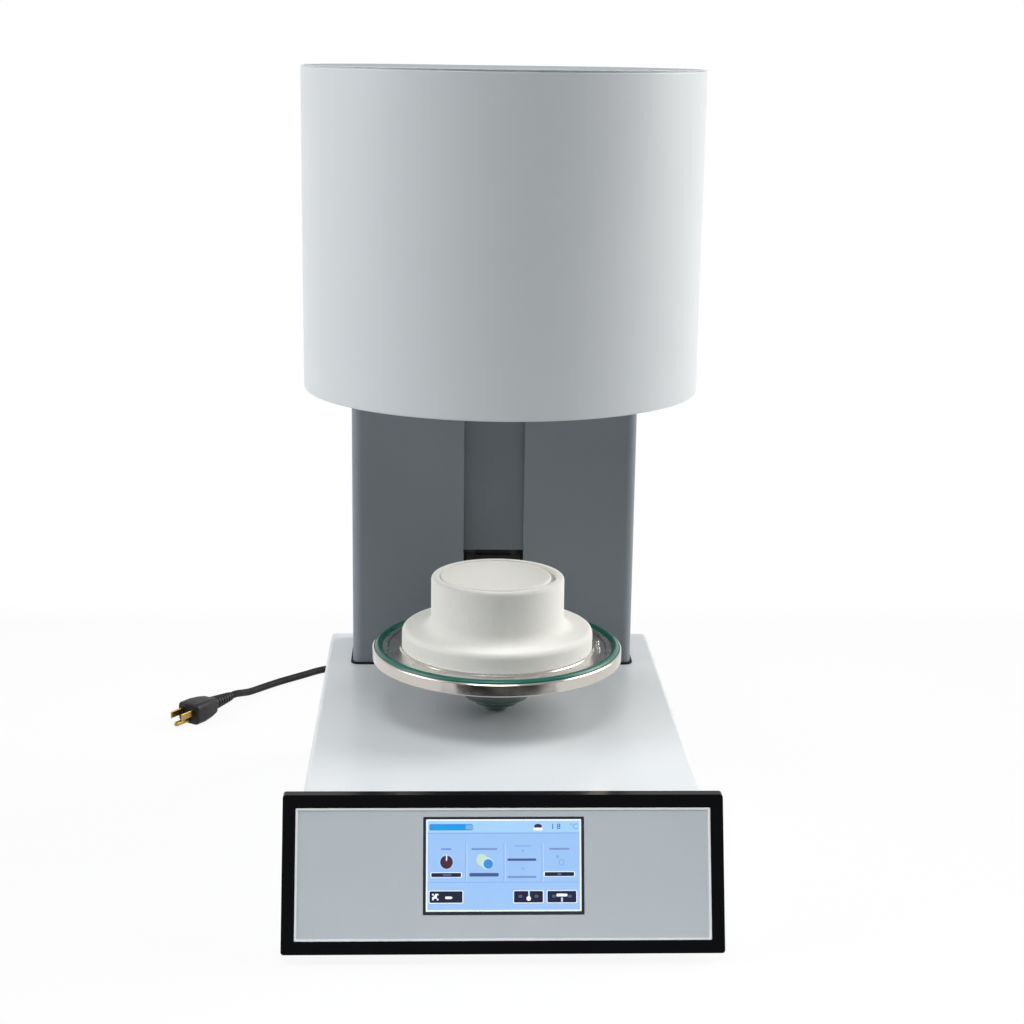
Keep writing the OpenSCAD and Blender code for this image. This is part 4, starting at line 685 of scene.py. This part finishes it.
# Stepped cone nut under the arm, with a groove turned in each step
coneLook = {"steps": ((26, 24, 13), (17.5, 13, 7.4), (9, 7.4, 1.8))}  # radius, top and bottom
coneProfile = [(0, coneLook["steps"][0][1])]
for r, high, low in coneLook["steps"]:
    coneProfile += [(r, high), (r, low + 2.6), (r - 0.5, low + 2.3), (r - 0.5, low + 1.8),
                    (r, low + 1.5), (r, low + 0.8), (r - 0.8, low)]
coneProfile += [(0, coneLook["steps"][-1][2])]
coneNut = turned("coneNut", coneProfile, onAxis, 96)
ease(coneNut, 0.25, 2, 25)
wear(coneNut, greyHardCoat, "grey_cone", "cone_nut")
print("plinth and nut turned")


# Display: glass with its lit menu, drawn as thin tiles on the sloping front

faceLook = {"lean": 21.3, "run": 39.77, "topFront": -169, "frameDepth": 7, "middle": -51,
            "rise": 5.74, "glass": (112.6, 67.4), "thick": 1.1, "recess": 1}
faceFront = faceLook["topFront"] - faceLook["frameDepth"] - faceLook["run"] / 2
facePlace = onAxis @ shift(0, faceFront, faceLook["middle"]) @ roll(90 - faceLook["lean"], "X")
glassPlace = facePlace @ shift(0, faceLook["rise"], -faceLook["recess"])
displayGlass = slab("displayGlass", *faceLook["glass"], faceLook["thick"], 0.8,
                    glassPlace @ shift(0, 0, -faceLook["thick"]))
ease(displayGlass, 0.2)
wear(displayGlass, screenGlass, "screen_glass", "display_glass")

shine = {"Coat Weight": 1.0, "Coat Roughness": 0.04, "Specular IOR Level": 0.3}
inks = {}
for ink, colour, tint, level in [
        ("rim", "E9F4FF", "DCEBFC", 0.5), ("field", "9FC6F2", "97BEF0", 0.38),
        ("header", "A8D4F8", "A0CCF6", 0.38), ("pill", "0590DA", "12A2E6", 0.38),
        ("pale", "BCD8F9", "C4DEFB", 0.45), ("line", "7EA2D8", "8AADE0", 0.38),
        ("grey", "7591C6", "829DCF", 0.35), ("ink", "0B0C28", "12143A", 0.25),
        ("navy", "27386E", "31437A", 0.4), ("slate", "46598C", "3F5284", 0.35),
        ("plum", "37132E", "4A1D3B", 0.35), ("white", "F4F8FF", "ECF3FD", 0.5),
        ("leaf", "C6DCC0", "BAD5B4", 0.45), ("blue", "2C7CC4", "3C8CD0", 0.5)]:
    # liquid crystal picture behind glass: even glow, gloss from the glass over it
    inks[ink] = finish("Picture" + ink.capitalize(), colour, tint, 16, (0.3, 0.36), 9,
                       fixed=shine, grain=[("noise", 20, 0.003)], lit=level)

menu = []
layer = 0.03  # thickness of each layer of the picture


def inked(part, ink, x, y, level, proud=0.01):  # lays a part of the picture on its layer
    settle(part, glassPlace @ shift(x, y, proud + layer * level))
    part.data.materials.append(inks[ink])
    menu.append(part)


def tile(ink, x, y, w, h, level, corner=0.3):
    inked(slab("menuTile", w, h, layer, min(corner, w / 2.2, h / 2.2), segments=3),
          ink, x, y, level)


def disc(ink, x, y, r, level, squeeze=1.0):
    inked(turned("menuDisc", [(0, 0), (r, 0), (r, layer), (0, layer)],
                 Matrix.Scale(squeeze, 4, (0, 1, 0)), 24), ink, x, y, level)


tiles = {  # by ink: middle and size on the glass, layer and corner of each tile
    "rim": [(0, 0.3, 108.6, 63.4, 0, 0.4)],
    "field": [(0, 0.3, 106.4, 61.2, 1, 0.3), (40.4, 2.2, 2.4, 3.0, 4, 0.8)],
    "header": [(0, 26.9, 106.4, 8.0, 2)],
    "pill": [(-36.8, 26.6, 30.6, 4.4, 3, 1.4)],
    "blue": [(-51.0, 26.6, 1.6, 4.4, 4, 0.4)],
    "line": [(0, 22.4, 106.4, 0.5, 2), (-24.2, 26.6, 5.2, 3.2, 4, 1.2),
             (0, -11.4, 106.0, 0.35, 2, 0.1), (13.2, 13.6, 12.0, 0.7, 3, 0.3),
             (37.6, 6.2, 1.8, 1.8, 3, 0.5), (40.4, 2.2, 3.6, 4.2, 3, 1.2)],
    "slate": [(12.6, 4.1, 20.2, 1.6, 3, 0.6), (-39.6, -6.3, 6.0, 1.7, 4, 0.4),
              (-13.8, -6.2, 20.4, 2.4, 3, 0.6), (38.9, -5.9, 2.4, 1.9, 4, 0.4)],
    "grey": [(12.6, -7.8, 20.2, 1.5, 3, 0.5)],
    "white": [(24.0, 25.2, 6.2, 1.9, 4, 0.4), (-40.0, 5.4, 0.9, 4.2, 4, 0.3),
              (-40.2, -6.3, 22.0, 3.6, 2, 0.8), (38.9, -5.9, 22.0, 3.6, 2, 0.8),
              (-38.6, -21.9, 4.4, 1.7, 4, 0.6), (40.6, -20.3, 7.6, 1.9, 4, 0.6)],
    "ink": [(-40.2, -6.3, 20.8, 2.8, 3, 0.5), (38.9, -5.9, 20.6, 2.8, 3, 0.5)],
    "pale": [(-36.6, -21.9, 1.6, 1.1, 4, 0.5), (17.6, -19.2, 1.1, 3.6, 4, 0.4),
             (40.6, -23.4, 1.2, 3.0, 4, 0.4)],
}
for ink, spots in tiles.items():
    for spot in spots:
        tile(ink, *spot)
for x in (-26.5, 0.2, 26.8):  # the lines between the menu's four columns
    tile("line", x, 2.4, 0.6, 26.5, 2, 0.1)
    tile("pale", x + 0.7, 2.4, 0.5, 26.5, 2, 0.1)
for x, w in ((-40.2, 7.2), (-13.6, 18.0), (39.0, 14.2)):  # their headings
    tile("grey", x, 11.5, w, 1.3, 3, 0.4)
for y in (10.4, -2.0):
    tile("line", 13.4, y, 1.4, 1.6, 3, 0.3)
for x, w in ((-40.3, 23.0), (17.2, 20.2), (40.6, 20.2)):  # the three keys, then their signs
    tile("white", x, -21.4, w + 1.1, 8.8, 2, 1.0)
    tile("ink", x, -21.4, w, 7.9, 3, 0.7)
for i, j in ((0, 0), (0, 1), (1, 1), (0, 3), (1, 2), (2, 2), (2, 1), (3, 0), (3, 3), (2, 3)):
    tile("white", -49.4 + i * 1.1, -23.0 + j * 1.1, 1.1, 1.1, 4, 0.1)
for x in (11.6, 22.8, 35.0, 46.2):
    tile("slate", x, -21.1, 2.6, 2.0, 4, 0.6)
for ink, *spot in (("plum", 24.0, 27.1, 2.7, 3, 0.62), ("header", -40.0, 2.7, 5.2, 2, 1.05),
                   ("plum", -40.0, 2.5, 4.4, 3, 1.05), ("leaf", -15.2, 3.9, 3.9, 3, 1.1),
                   ("pale", -11.6, 1.6, 4.2, 4), ("blue", -10.9, 1.2, 3.3, 5),
                   ("white", 17.4, -22.6, 1.6, 5)):
    disc(ink, *spot)
headerText = {"size": 5.4, "y": 26.8, "level": 3}
for ink, words, x in (("navy", "1 8", 36.4), ("grey", "°C", 49.2)):
    clearSelection()
    bpy.ops.object.text_add(location=(0, 0, 0))
    text = bpy.context.object.data
    text.body = words
    text.size = headerText["size"] * mm
    text.align_x, text.align_y = "CENTER", "CENTER"
    text.extrude = layer / 3 * mm
    bpy.ops.object.convert(target="MESH")
    inked(bpy.context.object, ink, x, headerText["y"], headerText["level"], layer)
screenPicture = joined("screenPicture", menu)
wear(screenPicture, None, "screen_glass", body="housing")
print("display lit")


# Sheet metal and castings that keep the CAD shape: merged, edges broken, dressed

frameLook = {"wide": 309, "tall": 109.5, "round": 1.8, "elsewhere": 0.3, "margin": 3}
armUpright = 47  # where the lift arm's upright part begins
sheetPieces = [
    # finish, slot, then each node with its piece and edge width (0 where it is rounded apart)
    (whitePowderCoat, "white_paint", ("base_cover", "baseCover", 0.45),
     ("rear_panel", "rearPanel", 0.3)),
    (zincPlate, "zinc_steel", ("bottom_tray", "bottomTray", 0.3),
     ("cover_screws", "coverScrews", 0.2)),
    (glossBlackPlastic, "black_gloss", ("front_frame", "frontFrame", 0)),
    (silverPanelPaint, "panel_paint", ("front_panel", "frontPanel", 0.9)),
    (slatePowderCoat, "slate_paint", ("column_shell", "columnShell", 0.4),
     ("column_back", "columnBack", 0.35), ("column_cap", "columnCap", 0.4),
     ("lift_arm", "liftArm", 0.6)),
    (stripEnamel, "strip_paint", ("slot_cover", "slotCover", 0.25)),
    (milledAluminium, "aluminium", ("seal_flange", "sealFlange", 0.5)),
    (blackAnodised, "black_aluminium", ("carriage", "carriagePlate", 0.6)),
    (texturedBlackPlastic, "black_plastic", ("mains_inlet", "mainsInlet", 0.3),
     ("pump_outlet", "pumpOutlet", 0.3), ("switch_housing", "switchHousing", 0.3),
     ("switch_rocker", "switchRocker", 0.5), ("fan_frame", "fanFrame", 0.4),
     ("fan_rotor", "fanRotor", 0.25)),
    (turnedBrass, "brass", ("vacuum_nipple", "vacuumNipple", 0.3)),
]


def weighFrameEdges(piece):  # full rounding on the outer rim, a share of it elsewhere
    opened(piece)
    bpy.ops.mesh.select_mode(type="EDGE")
    bpy.ops.mesh.select_all(action="DESELECT")
    bpy.ops.mesh.edges_select_sharp(sharpness=math.radians(32))
    closed()
    onFace = facePlace.inverted()
    reach = [frameLook[side] / 2 - frameLook["margin"] for side in ("wide", "tall")]
    share = piece.data.attributes.new("bevel_weight_edge", "FLOAT", "EDGE")
    for edge in piece.data.edges:
        ends = [onFace @ piece.data.vertices[i].co / mm for i in edge.vertices]
        outer = all(abs(q.z) < 0.1 and (abs(q.x) > reach[0] or abs(q.y) > reach[1]) for q in ends)
        weight = 1 if outer else frameLook["elsewhere"]
        share.data[edge.index].value = weight if edge.select else 0


made = {}
for material, slotName, *rows in sheetPieces:
    for node, name, width in rows:
        piece = easedCopy(node, name, width)
        if node == "front_frame":
            weighFrameEdges(piece)
            applied(piece, "easedEdges", "BEVEL", width=frameLook["round"] * mm, segments=4,
                    limit_method="WEIGHT")
            shaded(piece)
        made[name] = wear(piece, material, slotName, node)

tilt = facePlace.to_3x3().inverted()
# the panel's eased edges take the pale white: a painted highlight along them
dressed(made["frontPanel"], paintedHighlightWhite, lambda face: 0.25 < (tilt @ face.normal).z < 0.97)
# the arm's upright is black like the carriage behind it: painted shade for the dark band under the
# strip's end
dressed(made["liftArm"], blackAnodised, lambda face: face.center.z > baseTop + armUpright * mm)

# Black rim round the column's foot, drawn for the dark line along it; and a thin white bead round
# the panel, whose colour is a painted highlight along the joint of panel and frame
# a black rim drawn round the column's foot for the dark line along its edge
footRimLook = {"column": (236, 76), "middle": (0, 154), "proud": 1.8, "high": 1.5, "corner": 7}
w, d = (side + 2 * footRimLook["proud"] for side in footRimLook["column"])
columnFootRim = border("columnFootRim", w, d, footRimLook["proud"] + 0.5, footRimLook["high"],
                    footRimLook["corner"], onAxis @ shift(*footRimLook["middle"], 0))
ease(columnFootRim, 0.3)
wear(columnFootRim, blackRubber, "black_rubber", body="housing")

beadLook = {"window": (290.8, 91.3), "wide": 1.5, "high": 0.9, "round": 0.35}
# the bead's white is a painted highlight round the panel
panelHighlightBead = border("panelHighlightBead", *beadLook["window"], beadLook["wide"], beadLook["high"], 1,
                   facePlace @ shift(0, 0, -faceLook["recess"]))
ease(panelHighlightBead, beadLook["round"], 3)
wear(panelHighlightBead, paintedHighlightWhite, "panel_paint", body="housing")
print("sheet metal dressed")


# Fan guard of welded wire: rings on two crossed arms with an eye at each corner

guardLook = {"rings": (4.2, 10, 18, 26), "wire": 1.0, "arm": (3.5, 28), "screwAt": 31.6,
             "fan": (-85, 200.5, -52)}
guardPlace = onAxis @ shift(*guardLook["fan"]) @ roll(-90, "X")
guardParts = []
for r in guardLook["rings"]:
    clearSelection()
    bpy.ops.mesh.primitive_torus_add(major_radius=r * mm, minor_radius=guardLook["wire"] * mm,
                                     major_segments=64, minor_segments=10)
    guardParts.append(bpy.context.object)
    settle(guardParts[-1], guardPlace @ shift(0, 0, guardLook["wire"]))
armStart, armLong = guardLook["arm"]
for quarter in range(4):
    turn = guardPlace @ roll(45 + 90 * quarter, "Z")
    corner = turn @ shift(guardLook["screwAt"], 0, 0)
    arm = turned("guardArm", [(0, 0), (0.8, 0), (1.0, 0.3), (1.0, armLong - 0.3), (0.8, armLong),
                              (0, armLong)], turn @ shift(armStart, 0, 0.95) @ roll(90, "Y"), 12)
    eye = turned("guardEye", [(1.9, 0.05), (3.4, 0.05), (3.4, 1.9), (1.9, 1.9)], corner, 28,
                 ring=True)
    screw = turned("guardScrew", [(0, 1.9), (2.8, 1.9), (2.6, 1.0), (1.7, 0.4), (1.7, 0.1),
                                  (0, 0.1)], corner, 24)
    guardParts += [arm, eye, screw]
fanGuard = joined("fanGuard", guardParts)
smoothed()
wear(fanGuard, hardChrome, "chrome_rod", "fan_guard")

# Rubber feet with a chamfered foot ring and a sunk screw
footLook = {"radius": 12, "high": 8, "hole": 2.1, "sunk": 5, "fromSide": 115,
            "rows": (-150.77, 170)}
footR, footTop = footLook["radius"], footLook["high"]
sunk, hole, seat = footLook["sunk"], footLook["hole"], footTop - 2.8
feet = []
for x in (-footLook["fromSide"], footLook["fromSide"]):
    for y in footLook["rows"]:
        feet.append(turned("rubberFoot", [
            (sunk, seat), (sunk, 0.4), (sunk + 0.5, 0), (footR - 2.4, 0), (footR - 1.1, 0.8),
            (footR, footTop - 2), (footR, footTop - 0.4), (footR - 0.4, footTop),
            (hole, footTop), (hole, seat)], Matrix.Translation(onTable(x, y, 0)), 48, ring=True))
rubberFeet = joined("rubberFeet", feet)
ease(rubberFeet, 0.2, 2, 30)
wear(rubberFeet, blackRubber, "black_rubber", "rubber_feet")
print("guard and feet made")


# Inner parts that keep their CAD mesh

innerParts = [
    # finish, slot and the nodes that wear it
    (zincPlate, "zinc_steel", ("display_module", "power_supply", "column_frame")),
    (boardLaminate, "board_green", ("controller_board",)),
    (ivoryThermoset, "ivory_plastic", ("relay",)),
    (blackAnodised, "black_aluminium", ("heat_sink", "lift_motor")),
    (turnedBrass, "brass", ("vacuum_valve",)),
    (texturedBlackPlastic, "black_plastic", ("strip_guides", "limit_switches")),
    (milledAluminium, "aluminium", ("end_blocks", "motor_coupling")),
    (hardChrome, "chrome_rod", ("guide_rods", "screw_bearings", "lead_screw")),
    (sinteredBronze, "bronze", ("slide_bushes", "screw_nut")),
    (turnedStainless, "steel", ("vacuum_vessel",)),
    (pressedFibre, "fibre", ("insulation_base", "insulation_ring", "insulation_cap")),
    (oxidisedWire, "heater_wire", ("heating_coil",)),
    (milkyQuartz, "quartz", ("quartz_liner",)),
    (probeAlumina, "probe_ceramic", ("thermocouple",)),
]
for material, slotName, nodes in innerParts:
    for node in nodes:
        part = frame["nodes"][node]
        part.data.materials.clear()
        part.data.materials.append(material)

# Vacuum hose: silicone tube swept up the column and over to the vessel's port
hoseLook = {"x": 72, "back": 181.5, "port": 60, "low": -62, "rise": 462, "bend": 14, "end": 453,
            "outer": 4, "wall": 1.5}
h = hoseLook
back, front, rise = h["back"] - h["bend"], h["port"] + h["bend"], h["rise"]
hosePath = [(h["back"], h["low"] + (rise - h["low"]) * k / 24) for k in range(24)]
hosePath += bend((back, rise), h["bend"], 0, 90, 10)
hosePath += [(back + (front - back) * k / 6, rise + h["bend"]) for k in range(1, 6)]
hosePath += bend((front, rise), h["bend"], 90, 180, 10)
hosePath += [(h["port"], h["end"])]
vacuumHose = sweptLine("vacuumHose", [at(h["x"], y, z) for y, z in hosePath], h["outer"], 6)
pick(vacuumHose)
bpy.ops.object.convert(target="MESH")
vacuumHose = bpy.context.object
cleaned(vacuumHose)
applied(vacuumHose, "bore", "SOLIDIFY", thickness=h["wall"] * mm, offset=-1)
smoothed()
wear(vacuumHose, blackRubber, "black_rubber", "vacuum_hose")
print("inner parts dressed")


# Studio: pale floor, soft boxes at both sides and high in front, dim behind the camera

floorLook = {"size": 9.0, "colour": "F2F3F4", "tint": "EEEFF0", "front": "B4B6B8",
             "ramps": ((-0.7, -0.33, 0, 1), (-0.44, -0.33, 0.6, 0.9), (0.1, 0.7, 0, 1))}
floor = planeOf("studioFloor", floorLook["size"])
floorPaint = bpy.data.materials.new("FloorPaint")
tree = emptyTree(floorPaint)
place = addNode(tree, "TexCoord").outputs["Object"]
drift = addNode(tree, "TexNoise", {"Scale": 3.0}, {"Vector": place})
paint = addNode(tree, "Mix", {"data_type": "RGBA", 6: fromHex(floorLook["colour"]),
                              7: fromHex(floorLook["tint"])}, {0: drift}).outputs[2]
split = addNode(tree, "SeparateXYZ", {}, {"Vector": place})
# painted shade: grey towards the photographer, so that the metal reflects a darker floor there;
# nearly white by itself from the front on, all white far off
near, behind, far = [
    addNode(tree, "MapRange", {"interpolation_type": "SMOOTHSTEP", "From Min": first,
                               "From Max": last, "To Min": start, "To Max": end},
            {"Value": split.outputs["Y"]})
    for first, last, start, end in floorLook["ramps"]]
# the front grey is painted shade, which the plate's rim reflects
paint = addNode(tree, "Mix", {"data_type": "RGBA", 6: fromHex(floorLook["front"])},
                {0: near, 7: paint}).outputs[2]
matt = addNode(tree, "BsdfDiffuse", {}, {"Color": paint})
bright = addNode(tree, "Emission")
white = addNode(tree, "Math", {"operation": "MAXIMUM"}, {0: behind, 1: far})
share = addNode(tree, "Math", {"operation": "MULTIPLY"}, {0: seenDirectly(tree), 1: white})
both = addNode(tree, "MixShader", {}, {0: share, 1: matt, 2: bright})
addNode(tree, "OutputMaterial", {}, {"Surface": both})
floor.data.materials.append(floorPaint)

# Black cards on the floor, seen only in the metal: they darken stretches of the plate's rim
cardLook = {"blackCard": (960, 420, 100, -640, 120), "sideCard": (190, 130, -495, 468, 30)}
for name, (wide, long, x, y, corner) in cardLook.items():
    card = slab(name, wide, long, 1, corner, Matrix.Translation(onTable(x, y, 0.5)), 12)
    card.data.materials.append(cardFlock)
    card.visible_camera = False
    card.visible_shadow = False
    card.visible_diffuse = False

worldLook = {"ahead": ("Y", -0.75, 0.25, 0.16, 1.0), "above": ("Z", 0.15, 0.8, 1.0, 0.35),
             "cool": (0.86, 0.95, 1, 1), "dull": 0.75, "shown": 0.32}
world = bpy.data.worlds.new("studioWorld")
bpy.context.scene.world = world
tree = emptyTree(world)
way = addNode(tree, "TexCoord").outputs["Generated"]
split = addNode(tree, "SeparateXYZ", {}, {"Vector": way})
# dim behind the camera and white behind the furnace; dimmer overhead, where a soft box takes over
ahead, above = [
    addNode(tree, "MapRange", {"interpolation_type": "SMOOTHSTEP", "From Min": first,
                               "From Max": last, "To Min": start, "To Max": end},
            {"Value": split.outputs[axis]})
    for axis, first, last, start, end in (worldLook["ahead"], worldLook["above"])]
level = addNode(tree, "Math", {"operation": "MULTIPLY"}, {0: ahead, 1: above})
hue = addNode(tree, "Mix", {"data_type": "RGBA", 6: worldLook["cool"], 7: (1, 1, 1, 1)},
              {0: ahead}).outputs[2]
dull = addNode(tree, "Math", {"operation": "MULTIPLY", 1: worldLook["dull"]}, {0: level})
shown = addNode(tree, "MapRange", {"To Min": worldLook["shown"]}, {"Value": level})
strength = addNode(tree, "Mix", {"data_type": "FLOAT"},
                   {0: seenDirectly(tree), 2: dull, 3: shown})
sky = addNode(tree, "Background", {}, {"Color": hue, "Strength": strength})
addNode(tree, "OutputWorld", {}, {"Surface": sky})

lamps = [
    # name, place, what it looks at, size, watts, spread in degrees, tint
    ("leftBox", (-1650, -190, 1150), (0, 0, 180), (1.4, 1.4), 4.0, 70, (0.98, 0.99, 1.0)),
    ("rightBox", (1650, 420, 1150), (0, 0, 180), (1.4, 1.4), 7.3, 70, (1.0, 0.985, 0.955)),
    ("frontBox", (-150, -1050, 2250), (0, -60, 0), (1.2, 1.0), 3.2, 60, (0.98, 0.99, 1.0)),
]
for name, spot, target, size, watts, spread, tint in lamps:
    clearSelection()
    bpy.ops.object.light_add(type="AREA", location=at(*spot))
    lamp = bpy.context.object
    lamp.name = name
    lamp.data.shape = "RECTANGLE"
    lamp.data.size, lamp.data.size_y = size
    lamp.data.energy = watts
    lamp.data.spread = math.radians(spread)
    lamp.data.color = tint
    lamp.rotation_euler = (at(*target) - at(*spot)).to_track_quat("-Z", "Y").to_euler()
bpy.context.scene.view_settings.view_transform = "Standard"
clearSelection()
print("studio lit")
